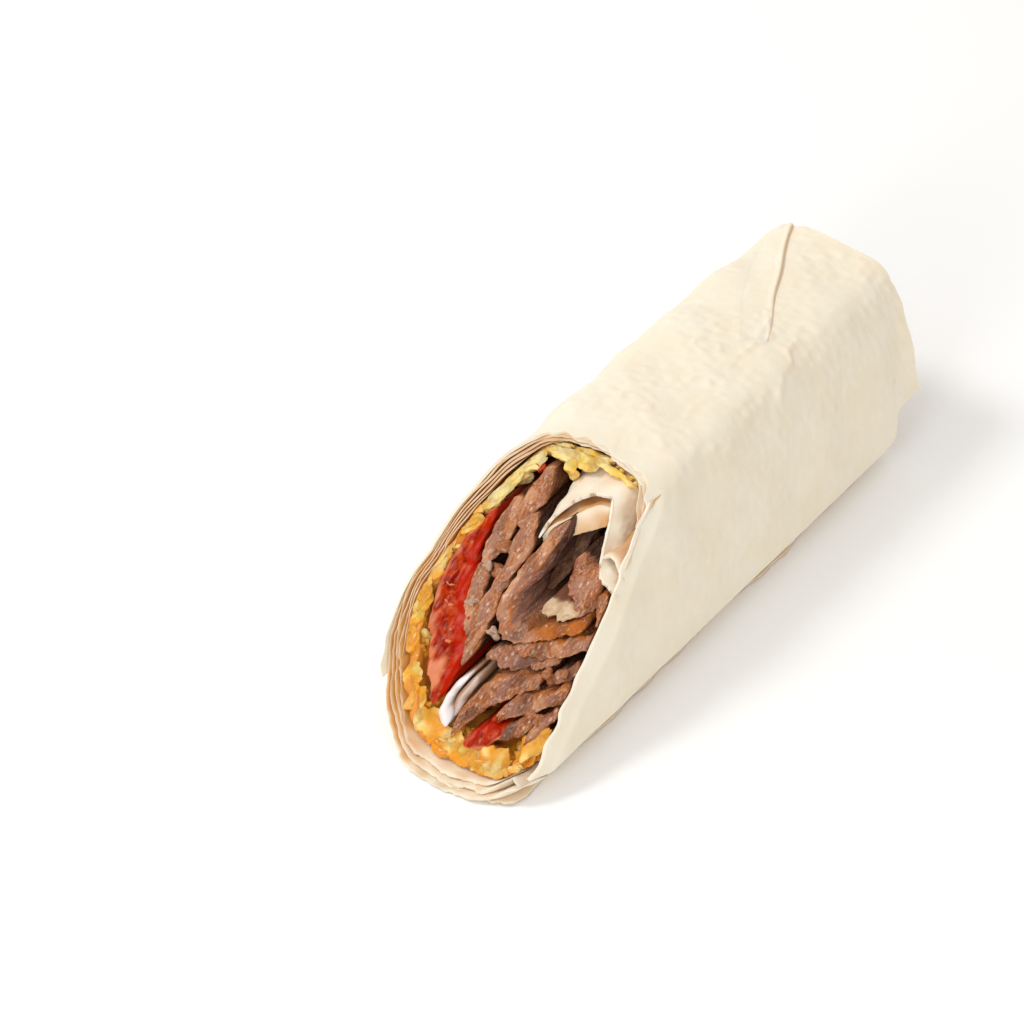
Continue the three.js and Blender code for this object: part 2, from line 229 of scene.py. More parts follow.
def shell(name, bodies, material, slot, replaced=(), **marks):
    """One piece made of closed bodies, or of one. Each body is rings of points in millimetres: faces join
    ring to ring, and each end is closed by a ladder between the two halves of its ring. marks are extra
    values for the material, one grid a body."""
    if isinstance(bodies, np.ndarray):
        bodies, marks = [bodies], {mark: [grid] for mark, grid in marks.items()}
    verts, faces, start = [], [], 0
    for rings in bodies:
        n, m = rings.shape[:2]
        points = rings.reshape(-1, 3) / 1000
        index = np.arange(n * m).reshape(n, m)
        ahead = np.roll(index, -1, axis=1)
        around = np.stack([index[:-1], ahead[:-1], ahead[1:], index[1:]], -1).reshape(-1, 4)
        k = np.arange(m // 2 - 1)
        first, last = index[0], index[-1]
        caps = [np.stack([first[k + 1], first[k], first[m - 1 - k], first[m - 2 - k]], -1),
                np.stack([last[k], last[k + 1], last[m - 2 - k], last[m - 1 - k]], -1)]
        quads = np.vstack([around, *caps])
        a, b, c, d = (points[quads[:, i]] - points[0] for i in range(4))
        inside_out = (np.cross(a, b) * c + np.cross(a, c) * d).sum() < 0
        faces.append((quads[:, ::-1] if inside_out else quads) + start)
        verts.append(points)
        start += n * m
    mesh = bpy.data.meshes.new(name)
    mesh.from_pydata(np.vstack(verts), [], np.vstack(faces).tolist())
    for mark, grids in marks.items():
        values = np.concatenate([grid.reshape(-1, *grid.shape[2:]) for grid in grids]).astype(np.float32)
        kind, field = ("FLOAT_VECTOR", "vector") if values.ndim == 2 else ("FLOAT", "value")
        mesh.attributes.new(mark, kind, "POINT").data.foreach_set(field, values.ravel())
    mesh.shade_smooth()
    mesh.set_sharp_from_angle(angle=math.radians(60))
    mesh.materials.append(material)
    piece = bpy.data.objects.new(name, mesh)
    bpy.context.scene.collection.objects.link(piece)
    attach(piece, "root")
    if replaced:
        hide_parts(*replaced)
    return piece


def sheet(top, bottom):
    """The rings of a closed sheet between two grids, one for its upper face and one for its lower."""
    return np.concatenate([top, bottom[:, ::-1]], axis=1)


def inward(ring):
    """Unit normals of a closed ring in the section, pointing inwards."""
    along = np.roll(ring, -1, axis=0) - np.roll(ring, 1, axis=0)
    along /= np.linalg.norm(along, axis=1, keepdims=True)
    return np.stack([-along[:, 1], along[:, 0]], -1)


RING = spline(ROLL_OUTLINE, 1440, closed=True)
RING_LENGTH = np.linalg.norm(RING - np.roll(RING, 1, axis=0), axis=1).sum()
RING_INWARD = inward(RING)


def on_ring(table, t):
    """Values of a table kept round the roll, at shares t of the way round."""
    places = np.arange(len(table) + 1) / len(table)
    wrapped = np.mod(t, 1.0)
    return np.stack([np.interp(wrapped, places, np.r_[c, c[:1]]) for c in table.T], -1)


def cut_x(height, out=0.0):
    """The slanted cut: x rises by the slope with height; out stands forward of it."""
    return CUT_TIP_X + CUT_SLOPE * height - out


def placed(x, side, height):
    """Points of the part from x and the section's side and height; the section stands a little aside."""
    return np.stack([x, side + SIDE_SHIFT, height], -1)


def tapered(x, y, z):
    """Section points moved in where the roll narrows to its folded end, most at the upper far side."""
    far = FAR_TAPER * smoothstep(x, 55, FAR_X) * smoothstep(y, 6, 20) * smoothstep(z, 22, 40)
    near = NEAR_TAPER * smoothstep(x, 60, FAR_X) * smoothstep(-y, 2, 18)
    return y - far + near, z - 0.6 * far


def roll_points(t, x, depth):
    """Points at a depth below the roll's surface: the outline moved inwards, then swollen by
    0.35 sin(x / 3.65 + 2 a) sin(3 a + x / 31), a the angle round the roll. Near the cut the near side is
    pressed in by a straight ramp, with a soft crease where the ramp ends. No height is negative: z becomes
    half of z plus the root of z squared plus 0.04."""
    section = on_ring(RING, t) + on_ring(RING_INWARD, t) * depth[..., None]
    y, z = section[..., 0], section[..., 1]
    angle = np.arctan2(z - SECTION_CENTRE[1], y - SECTION_CENTRE[0])
    swell = SWELL_HEIGHT * np.sin(x / 3.65 + 2 * angle) * np.sin(3 * angle + x / 31) * smoothstep(z, 4, 14)
    near = smoothstep(-y, 9, 21)
    behind = 1 - (x - cut_x(z)) / PRESS_LENGTH
    behind = (behind + np.sqrt(behind ** 2 + 0.02)) / 2
    pressed = PRESS_DEPTH * behind - PRESS_RIDGE * np.exp(-(behind / 0.3) ** 2)
    y = y + swell * np.cos(angle) + near * pressed
    z = z + swell * np.sin(angle)
    y, z = tapered(x, y, z)
    return placed(x, y, (z + np.sqrt(z ** 2 + 0.04)) / 2)


def blisters(x, s, seed):
    """Shallow round blisters and dimples: for each, its height times exp(-q) (1 - 0.8 exp(-2 q)), q the
    squared distance over its radius; x and s are millimetres along and round the sheet."""
    draw = np.random.default_rng(seed)
    relief = np.zeros_like(x)
    for _ in range(BLISTER_COUNT):
        centre_x, centre_s = draw.uniform(-85, 85), draw.uniform(0, 100)
        radius = draw.uniform(*BLISTER_RADII)
        stretch = draw.uniform(0.6, 1.5)
        height = BLISTER_HEIGHT * draw.uniform(0.3, 1) * draw.choice([1, 1, -0.7])
        q = ((x - centre_x) ** 2 * stretch + (s - centre_s) ** 2 / stretch) / radius ** 2
        relief += height * np.exp(-q) * (1 - 0.8 * np.exp(-2 * q))
    return relief


def creases(x, s, seed):
    """Fine creases that run mostly along the roll: (1 - |waves|) cubed, so each is a narrow ridge."""
    ridge = 1 - np.abs(waves([x / 3.2, s], 9, seed))
    return 0.16 * np.clip(ridge, 0, 1) ** 3 * smoothstep(waves([x, s], 30, seed + 1), -0.3, 0.8)


def wrinkles(x, y):
    """Named marks on the top: each wrinkle is a height times exp(-(distance from its line / width) squared),
    and each ring blister the same round a circle, broken up by waves."""
    relief = np.zeros_like(x)
    for mark in WRINKLES:
        line = spline(mark["line"], 40)
        away = np.sqrt(((x[..., None] - line[:, 0]) ** 2 + (y[..., None] - line[:, 1]) ** 2).min(-1))
        relief += mark["height"] * np.exp(-(away / MARK_WIDTH) ** 2)
    for centre_x, centre_y, radius, height in RING_BLISTERS:
        away = np.hypot(x - centre_x, 0.8 * (y - centre_y)) - radius
        broken = np.clip(0.5 + 0.6 * waves([x, y], 5, 26), 0, 1.3)
        relief += height * np.exp(-(away / MARK_WIDTH) ** 2) * broken
    return relief


def dough_relief(x, t):
    """The whole surface of the outermost turn: blisters, creases, slow and short waves, and on top its
    wrinkles. Hollows are a third as deep as bumps are high."""
    s = (t - OUTER_TURN_START) * RING_LENGTH
    relief = blisters(x, s, 21) + creases(x, s, 23)
    relief = relief + 0.2 * waves([x, s], 26, 24) + 0.07 * waves([x, s], 4, 25)
    y, z = np.moveaxis(on_ring(RING, t), -1, 0)
    relief = relief + wrinkles(x, y) * smoothstep(z, 34, 40)
    return np.where(relief < 0, 0.35 * relief, relief)


def flatbread_material():
    """Floury baked dough: matte, cream and near-white patches 5 to 10 mm wide, a few faint toasted specks,
    and soft dimples 4 mm apart. Its warm tan tint marks torn crumb and browned wrinkles, and is also
    painted shade in the gaps, folds and undersides of the inner sheets."""
    material, tree = new_material("lavash_floured_baked_pale")
    place = add_node(tree, "TexCoord").outputs["Object"]
    patches = add_node(tree, "TexNoise", {"Vector": place, "Scale": 95.0, "Detail": 4.0, "Roughness": 0.6})
    blend = add_node(tree, "ValToRGB", {"Fac": patches.outputs["Fac"]},
                     [(0.36, BREAD_CREAM), (0.62, BREAD_PALE)])
    # The crumb attribute mixes in the tan: crumb colour and browning, and painted shade.
    tint = add_node(tree, "Attribute", attribute_name="crumb").outputs["Fac"]
    warm = add_node(tree, "Mix", {"Factor": tint, "A": blend.outputs["Color"], "B": BREAD_CRUMB_AND_SHADE},
                    data_type="RGBA")
    cells = add_node(tree, "TexVoronoi", {"Vector": place, "Scale": 210.0, "Randomness": 1.0})
    speck = add_node(tree, "MapRange", {"Value": cells.outputs["Distance"], 1: 0.10, 2: 0.04, 3: 0.0, 4: 0.5})
    chosen = add_node(tree, "Math", {0: cells.outputs["Color"], 1: 1 - TOASTED_SHARE},
                      operation="GREATER_THAN")
    fleck = add_node(tree, "Math", {0: speck.outputs["Result"], 1: chosen.outputs[0]}, operation="MULTIPLY")
    final = add_node(tree, "Mix", {"Factor": fleck.outputs[0], "A": warm.outputs["Result"], "B": BREAD_TOAST},
                     data_type="RGBA")
    dimples = add_node(tree, "TexVoronoi", {"Vector": place, "Scale": 260.0, "Smoothness": 1.0},
                       feature="SMOOTH_F1")
    grain = add_node(tree, "TexNoise", {"Vector": place, "Scale": 900.0, "Detail": 3.0})
    uneven = add_node(tree, "Bump", {
        "Height": dimples.outputs["Distance"], "Strength": 0.3, "Distance": 0.0007,
    })
    bump = add_node(tree, "Bump", {
        "Height": grain.outputs["Fac"], "Strength": 0.25, "Distance": 0.0002, "Normal": uneven.outputs[0],
    })
    surface = add_node(tree, "BsdfPrincipled", {
        "Base Color": final.outputs["Result"], "Roughness": 0.78, "Specular IOR Level": 0.25,
        "Normal": bump.outputs[0], "Subsurface Weight": 0.25, "Subsurface Radius": (1.0, 0.75, 0.45),
        "Subsurface Scale": 0.0012,
    })
    add_node(tree, "OutputMaterial", {"Surface": surface.outputs[0]})
    return material


lavash = flatbread_material()


def bread(name, rings, crumb):
    """One piece of the sheet of bread; crumb is how much of the warm tan shows at each of its
    points, as crumb colour, browning and painted shade.
    """
    shell(name, rings, lavash, "flatbread", ["lavash"], crumb=crumb)


near_shares = np.linspace(*NEAR_SIDE, 200)
near_heights = on_ring(RING, near_shares)[:, 1]


def share_at(height):
    """How far round the roll the near side reaches a height."""
    return np.interp(-height, -near_heights, near_shares)


def outer_rows(front, back):
    """x of every row: steps of half a millimetre just behind the cut, then even shares of the rest."""
    near = front[None, :] + np.linspace(0, 12, 26)[:, None]
    far = near[-1:] + (back - near[-1:]) * np.linspace(0, 1, 226)[1:, None]
    return np.vstack([near, far])


columns = np.linspace(0, 1, 186)
loose_x = outer_rows(np.array([cut_x(5, OUTER_TURN_OVERHANG)]), FAR_X)[:, 0]
edge = share_at(np.interp(loose_x, *np.array(LOOSE_EDGE, float).T))[:, None]
even = share_at(LOOSE_LOW + (LOOSE_HIGH - LOOSE_LOW) * smoothstep(loose_x, 52, 84))[:, None]
t = OUTER_TURN_START + columns * (even - OUTER_TURN_START) + smoothstep(columns, 0.8, 1) * (edge - even)
round_ = columns * OUTER_TURN_ROUND
ragged = 0.22 * waves([round_], 3.5, 11) + 0.2 * waves([round_], 11, 12)
front = cut_x(on_ring(RING, t[0])[:, 1], OUTER_TURN_OVERHANG) + ragged
back = FAR_X - 0.3 + 0.25 * waves([round_], 14, 13).clip(-1.2, 1.2)
back -= 5.5 * (1 - smoothstep(columns, 0, 0.16))
x = outer_rows(front, back)
at_edge = smoothstep(columns, 0.93, 1)
relief = dough_relief(x, t) * smoothstep(x - x[0], 1, 12) * smoothstep(columns, 0, 0.05)
relief = relief * (1 - 0.7 * at_edge) + 0.3 * at_edge
thick = OUTER_TURN_THICKNESS * (0.35 + 0.65 * smoothstep(columns, 0, 0.2))
top = roll_points(t, x, -relief)
bottom = roll_points(t, x, thick - relief)
browned = np.clip(0.2 * wrinkles(x, top[..., 1]) * smoothstep(top[..., 2], 34, 40), 0, 0.22)
bread("lavash_outer_turn", sheet(top, bottom), sheet(browned, browned))


# Pleat in the outermost turn: where the soft sheet was gathered, a lip of it folds over on itself. It runs
# from the folded end forward over the top, where it dies away.
PLEAT_FROM = [83, 14.2]
PLEAT_TO = [40, -8]
PLEAT_HEIGHT = 1.0
PLEAT_WIDTH = 9
PLEAT_END_X = FAR_X - 0.5
PLEAT_THICKNESS = 0.4

top_shares = np.linspace(0.5, 0.8, 200)
pleat_t = np.interp([-PLEAT_FROM[1], -PLEAT_TO[1]], -on_ring(RING, top_shares)[:, 0], top_shares)
run_x = PLEAT_TO[0] - PLEAT_FROM[0]
run_s = (pleat_t[1] - pleat_t[0]) * RING_LENGTH
length = math.hypot(run_x, run_s)
step_x, step_s = run_x / length, run_s / length
off = np.array([*np.linspace(0, 1.2, 9), *np.linspace(1.5, PLEAT_WIDTH, 30)])[None, :]
start = (PLEAT_FROM[0] - step_s * off - PLEAT_END_X) / (-step_x * length)
go = start + (1 - start) * np.linspace(0, 1, 120)[:, None]
across = off + 0.22 * waves([go * length], 24, 28)
x = np.minimum(PLEAT_FROM[0] + step_x * go * length - step_s * across, PLEAT_END_X)
t = pleat_t[0] + (step_s * go * length + step_x * across) / RING_LENGTH
lip = 0.65 * (1 - smoothstep(off, 0.5, PLEAT_WIDTH)) + 0.4 * np.exp(-((off - 0.7) / 0.7) ** 2)
rise = PLEAT_HEIGHT * (1 - smoothstep(go, 0.4, 1.0)) * lip * (0.5 + 0.5 * smoothstep(off, 0, 0.4))
relief = dough_relief(x, t)
top = roll_points(t, x, -relief - rise + 0.06 * smoothstep(off, 6, PLEAT_WIDTH))
# Painted shade: a warm tint along the lip's edge, where the fold casts its shade.
crumb = 0.5 * (1 - smoothstep(off, 0.1, 0.5)) + 0 * x
bread("lavash_pleat", sheet(top, roll_points(t, x, PLEAT_THICKNESS - relief)), sheet(crumb, crumb))


# Inner turns of bread: the same sheet, rolled under the outermost turn. The cut shows their edges, four or
# five on the far side, three below and two on top. Each lies between two shares of the way round, and at the
# folded end they stop short of the outermost turn.
SPACE_OUTLINE = [
    [-24.2, 8], [-20.5, 4.2], [-9, 2.4], [2, 2.6], [9.8, 5.4], [16.5, 10.8], [21.4, 17], [22.2, 22],
    [21.4, 29], [18, 36.2], [13, 41.8], [6, 43.2], [-4, 43.2], [-10.6, 41.8], [-14.6, 37.6], [-19.3, 27.8],
    [-23, 14.5],
]
INNER_TURNS = [(0.004, 0.996), (0.012, 0.86), (0.03, 0.60), (0.24, 0.55), (0.30, 0.505)]
SHEET_LIMIT = 0.95
SHEET_SHARE = 0.88
TURN_FADE = 0.04
OUTER_FACE_FADE = (0.3, 1.4)
INNER_FACE_FADE = (3, 10)
INNER_END_LOW = 70
INNER_END_HIGH = 78
SPACE = spline(SPACE_OUTLINE, 720, closed=True)
SPACE_INWARD = inward(SPACE)
WALL_SHARES = np.linspace(0, 1, 241)
WALL = np.linalg.norm(on_ring(RING, WALL_SHARES)[:, None] - SPACE[None], axis=-1).min(axis=1) - 0.1


def presence(t, first, last):
    """1 between the two shares of the way round, fading to 0 just inside each."""
    return smoothstep(t, first, first + TURN_FADE) * (1 - smoothstep(t, last - TURN_FADE, last))


def turn_depths(t):
    """How deep the middle of each inner turn lies at shares t, and how thick it is: the turns present there
    share out the wall in order, the outermost turn first."""
    wall = np.interp(np.mod(t, 1), WALL_SHARES, WALL)
    present = [smoothstep(t, OUTER_TURN_START - 0.05, OUTER_TURN_START + 0.02)]
    present += [presence(t, *turn) for turn in INNER_TURNS]
    pitch = wall / np.maximum(np.sum(present, axis=0), 1)
    thick = np.minimum(pitch * SHEET_SHARE, SHEET_LIMIT)
    before = np.cumsum(present, axis=0) - present
    return [((b + p / 2) * pitch, thick * p) for b, p in zip(before, present)][1:]


def inner_end(height):
    """x where the inner turns end at the folded end: it rises with height."""
    return INNER_END_LOW + (INNER_END_HIGH - INNER_END_LOW) * smoothstep(height, 6, 24)


near_steps = np.array([0, 0.3, 0.8, 1.5, 2.5, 3.6, 5, 7, 9.5, 13])[:, None]
far_steps = np.linspace(0, 1, 16)[1:, None]
for number, (first, last) in enumerate(INNER_TURNS):
    seed = 31 + number
    t = first + np.linspace(0, 1, 200) * (last - first)
    depth, thick = turn_depths(t)[number]
    side, height = (on_ring(RING, t) + on_ring(RING_INWARD, t) * depth[:, None]).T
    s = t * RING_LENGTH
    ragged = 0.18 * waves([s], 13, seed) + 0.09 * waves([s], 2.4, seed + 40)
    ragged -= 0.45 * smoothstep(waves([s], 6, seed + 80), 1.1, 1.9)
    recess = 4.5 * smoothstep(-side, 13, 19) * smoothstep(height, 3, 9)
    near = cut_x(height) + ragged + recess + 0.2 * number + near_steps
    back = inner_end(height) - 0.9 * number + 0.3 * waves([s], 12, seed + 5)
    x = np.vstack([near, near[-1:] + (back - near[-1:]) * far_steps])
    behind = x - x[0]
    middle = depth + 0.1 * waves([x / 3, s], 7, seed + 7) * np.exp(-behind / 9)
    half = np.maximum(thick, 0.02) / 2 * (0.5 + 0.5 * smoothstep(behind, 0, 1.2))
    # Painted shade in a warm tan: on the far side, on the faces behind the cut edge where the sheets shade
    # each other, and in the corner by the curl. It fades behind the edge, fast on the outer face.
    far = smoothstep(side, -4, 16)
    corner = np.exp(-((side + 14.5) / 3.5) ** 2 - ((height - 39.5) / 4) ** 2)
    crumb = 0.03 + 0.55 * far + (0.3 + 0.3 * far) * smoothstep(behind, 0.1, 0.8)
    crumb = crumb + corner * (0.35 + 0.3 * smoothstep(behind, 0.2, 0.9)) + 0.1 * waves([s, x], 5, seed + 9)
    fades = [1 - 0.85 * smoothstep(behind, *fade) for fade in (OUTER_FACE_FADE, INNER_FACE_FADE)]
    rings = sheet(roll_points(t, x, middle - half), roll_points(t, x, middle + half))
    bread(f"lavash_inner_turn_{number + 1}", rings, sheet(*(np.clip(crumb * fade, 0, 1) for fade in fades)))


# Flat end of the sheet: the bread that the roll was finished on, which now lies flat under it. Its corner
# shows past the low end of the cut, and its free edge wanders a little along the near side.
BASE_FLAP_SIDES = (-24.2, -6)
BASE_FLAP_FRONT = [[-24.2, -23.2, -19, -14, -6], [-73, -76.8, -79, -80.4, -81]]
BASE_FLAP_BACK = [[-24.2, -6], [56, 68]]
BASE_FLAP_THICKNESS = 0.6
# A flat warm tint over the whole flap: painted shade where it lies under the roll.
BASE_FLAP_SHADE_TINT = 0.3

side = np.linspace(*BASE_FLAP_SIDES, 60)
front = np.interp(side, *BASE_FLAP_FRONT) + 0.15 * waves([side], 3, 41)
back = np.interp(side, *BASE_FLAP_BACK)
along = np.r_[np.linspace(0, 0.12, 24), np.linspace(0.14, 1, 70)]
x = front[:, None] + (back - front)[:, None] * along
at_edge = smoothstep(-side, 14, 24.2)[:, None]
wander = (0.35 * waves([x[:1]], 45, 43) + 0.15 * waves([x[:1]], 13, 44)) * at_edge
lift = 0.2 * smoothstep(front[:, None] - x, -8, 0) * (1 + 0.6 * waves([side], 8, 42))[:, None]
lift = lift + 0.12 * (1 + waves([x[:1]], 30, 45)) * at_edge
top = placed(x, side[:, None] + wander, lift + BASE_FLAP_THICKNESS)
bottom = placed(x, side[:, None] + wander, np.maximum(lift * 0.8, 0))
crumb = BASE_FLAP_SHADE_TINT + 0 * x
bread("lavash_base_flap", sheet(top, bottom), sheet(crumb, crumb))


# Tucked-in start of the sheet: it curls loosely over the meat at the top near corner, torn along its free
# edge. The knife pressed its cut end down, so it rises again behind the cut. It doubles back on itself twice
# before it joins the wall.
CURL_ARCH = [
    [3.4, 31.3], [3.2, 33.6], [1.9, 35.6], [0.1, 37.3], [-2.3, 38.6], [-5, 39.3], [-7.2, 39.1], [-8.8, 37.6],
    [-10.4, 35.3], [-11.6, 33.5], [-12.5, 32.1], [-13.6, 30.9], [-16, 30], [-20.2, 29],
]
CURL_BEHIND = [
    [5.2, 37.4], [2.4, 39.8], [-0.8, 41.2], [-4.4, 41.9], [-7.8, 41.9], [-10.4, 41.2], [-11.6, 39],
    [-12.4, 36.4], [-13, 34], [-13.6, 32.2], [-14.4, 30.9], [-16.4, 30], [-20.2, 29],
]
CURL_HEM = [[3.1, 31.0], [2.6, 32.1], [0.4, 33.9], [-2.7, 35.8], [-5.1, 37.2], [-8.2, 37.6]]
CURL_HEM_BACK = [[4.0, 32.6], [2.2, 34.8], [-0.6, 36.3], [-3.4, 37.4], [-5.8, 38.0], [-8.6, 38.2]]
CURL_CURTAIN = [[2.8, 30.2], [1.6, 30.9], [-1.0, 31.6], [-3.6, 32.6], [-5.8, 33.6], [-9.4, 35.4]]
CURL_TURN_UP = [[-15.4, 40.8], [-16, 38.4], [-17, 36], [-17.6, 34.4], [-18.6, 32.4]]
CURL_TURN_DOWN = [[-12.4, 32.6], [-14.4, 32.9], [-17, 32.2], [-19.4, 30.9]]
# shade_tints are painted shade on each line's row of the upper face, tan in the gaps between the folds;
# end_shade_tint adds painted shade towards the first fold's end.
CURL_SHEETS = [
    {"lines": [CURL_ARCH, CURL_ARCH, CURL_BEHIND, CURL_BEHIND], "depths": [0, 0.6, 8, 32],
     "shade_tints": [0, 0.1, 0.16, 0.3], "thick": 0.85, "seed": 51, "ragged": 0.16},
    {"lines": [CURL_CURTAIN, CURL_HEM, CURL_HEM, CURL_HEM_BACK, CURL_HEM_BACK],
     "depths": [2.8, 1.6, 2.3, 9, 26], "shade_tints": [0.5, 0.15, 0.8, 0.9, 0.9], "thick": 0.7,
     "seed": 56, "ragged": 0.14, "end_shade_tint": 0.35},
    {"lines": [CURL_TURN_UP] * 3, "depths": [0.2, 2.2, 28], "shade_tints": [0.05, 0.7, 0.9], "thick": 0.8,
     "seed": 61, "ragged": 0.12},
    {"lines": [CURL_TURN_DOWN] * 3, "depths": [0.3, 2.2, 26], "shade_tints": [0.05, 0.7, 0.9], "thick": 0.8,
     "seed": 66, "ragged": 0.12},
]


def hung_sheet(lines, depths, shade_tints, thick, seed, ragged, end_shade_tint=0.0):
    """A sheet through lines across the roll, each at its own depth behind the cut and with its own shade
    tint.
    Its front edge is ragged by waves, and it is thinner there. Painted shade darkens its lower face behind
    the front edge and tints its upper face row by row, and its first fold gains the end shade tint towards
    the lines' end. Returns its rings and its painted shade."""
    numbers = np.arange(len(lines))
    tables = np.array([spline(line, 110) for line in lines])
    rows = (len(lines) - 1) * np.linspace(0, 1, 40) ** 1.6
    low = np.minimum(rows.astype(int), len(lines) - 2)
    share = (rows - low)[:, None, None]
    y, z = np.moveaxis(tables[low] * (1 - share) + tables[low + 1] * share, -1, 0)
    depth = np.interp(rows, numbers, depths)[:, None]
    s = np.r_[0, np.cumsum(np.linalg.norm(np.diff(tables[0], axis=0), axis=1))]
    behind = smoothstep(rows, 0, 0.4)[:, None]
    x = cut_x(z) + depth + ragged * (waves([s], 5, seed) + 0.6 * waves([s], 1.6, seed + 1)) * (1 - behind)
    ripple = 0.2 * waves([x, s], 8, seed + 2) + 0.07 * waves([x, s], 2.5, seed + 3)
    ripple = ripple * smoothstep(depth, 0.3, 4)
    middle = placed(x, y, z)
    normal = np.cross(np.gradient(middle, axis=0), np.gradient(middle, axis=1))
    normal /= np.linalg.norm(normal, axis=-1, keepdims=True)
    half = thick / 2 * (0.55 + 0.45 * smoothstep(np.minimum(s, s[-1] - s), 0, 0.8)) * (0.7 + 0.3 * behind)
    faces = [middle + normal * (ripple + h)[..., None] for h in (half, -half)]
    upper = np.interp(rows, numbers, shade_tints)[:, None] + 0.08 * waves([x, s], 7, seed + 4)
    upper = upper + end_shade_tint * smoothstep(s / s[-1], 0.25, 0.85) * (1 - smoothstep(rows, 0.5, 1))[:, None]
    return sheet(*faces), np.clip(sheet(0.9 * behind + 0 * upper, upper), 0, 1)


for number, curl in enumerate(CURL_SHEETS):
    bread(f"lavash_inner_curl_{number + 1}", *hung_sheet(**curl))


# Folded end: past the filling the margin of the sheet was folded in before rolling, so here its turns lie
# close against each other, as one long coil, and each ends in a soft round fold.
COIL_TURNS = 11
COIL_OUTER = 0.955
COIL_STEP = 0.082
COIL_SHARE = 0.9
COIL_FIRST_X = 64.5
COIL_RECESS = 0.8

turns = np.linspace(0, COIL_TURNS, 1200)
shrink = COIL_OUTER - COIL_STEP * turns
reach = on_ring(SPACE, turns) - SECTION_CENTRE
radius = np.linalg.norm(reach, axis=1)
uneven = 0.008 * waves([turns], 0.35, 71) * smoothstep(1 - shrink, 0.05, 0.2)
middle = SECTION_CENTRE + reach * (shrink + uneven)[:, None]
half = COIL_STEP * COIL_SHARE * radius / 2 * smoothstep(np.minimum(turns, COIL_TURNS - turns), -0.03, 0.1)
rim = inner_end(middle[:, 1]) - COIL_RECESS - 2.0 * (1 - shrink) ** 2 + 0.55 * waves([turns], 0.45, 72)
angle = np.linspace(-np.pi / 2, np.pi / 2, 9)
straight = COIL_FIRST_X + (rim - half - COIL_FIRST_X)[:, None] * np.array([0, 0.4, 0.8, 0.95])
x = np.hstack([straight, (rim - half)[:, None] + half[:, None] * np.cos(angle), straight[:, 2::-1]])
w = half[:, None] * np.concatenate([-np.ones(4), np.sin(angle), np.ones(3)])
section = middle[:, None] + (reach / radius[:, None])[:, None] * w[..., None]
crumb = np.clip(0.25 + 0.2 * waves([12 * turns[:, None], x], 6, 73), 0, 1)
bread("lavash_folded_end", placed(x, *tapered(x, section[..., 0], section[..., 1])), crumb)


# Crisps: brittle, blistered yellow potato crisps laid between the bread and the filling. A bed of broken ones
# lines the wall, and larger pieces stand out of it at the cut, some soaked in sauce.
FILLING_END_X = 64
SPACE_LENGTH = 118
CRISP_BED = (0.004, 0.755)
CRISP_BED_RECESS = 3.2
CRISP_COUNT = 60
CRISP_MARGIN = 0.35
CRISP_PALE = "#f9de96"
CRISP_YELLOW = "#f3c24e"
CRISP_BROWN = "#b87328"
SAUCE_ORANGE = "#e8961f"
# The large ones: side, height, depth behind the cut, tilt and turn in degrees, length and width.
TOP_CRISPS = [
    [-4.8, 42.0, 0.6, 42, 6, 11, 5], [7.2, 41.4, -0.2, 58, -4, 12.5, 6.5], [2.6, 42.4, 2.0, 26, 4, 9, 5],
    [5.6, 39.4, 2.2, 70, 80, 5, 3.4], [14.8, 37.2, 1.2, 35, 5, 8, 5], [17.8, 32.4, 0.6, 32, -6, 8, 4.5],
    [19.0, 28.2, 1.0, 20, 10, 5, 5], [20.6, 21.4, 0.2, 38, -12, 8, 4.5], [19.6, 17.2, -0.2, 52, 18, 6, 4.4],
    [16.4, 13.0, 0.4, 28, -25, 7, 4], [12.4, 9.6, 0.2, 55, 15, 5, 4], [8.0, 7.2, 0.5, 40, 5, 7, 5],
    [2.0, 5.6, 0.3, 48, -5, 9, 5.5], [-6.5, 4.8, 0.0, 48, 6, 9, 6], [-14.0, 5.4, -0.2, 42, -6, 9, 6],
    [-20.4, 8.6, 0.4, 34, 10, 8, 6],
]


def keep_inside(y, z, margin):
    """Moves section points that lie outside the filling's space, or nearer its edge than the margin, in."""
    ring, into = SPACE[::3], SPACE_INWARD[::3]
    points = np.stack([y.ravel(), z.ravel()], -1)
    nearest = ((points[:, None] - ring[None]) ** 2).sum(-1).argmin(1)
    inside = ((points - ring[nearest]) * into[nearest]).sum(-1)
    points = points + into[nearest] * np.maximum(margin - inside, 0)[:, None]
    return points[:, 0].reshape(y.shape), points[:, 1].reshape(z.shape)


def soak(side, height):
    """How much sauce has soaked in: most on the far side below the middle and at the foot, least on top."""
    far = 0.7 * smoothstep(side, 9, 18) * (1 - smoothstep(height, 25, 32))
    return 0.02 + far + 0.75 * (1 - smoothstep(height, 8, 16))


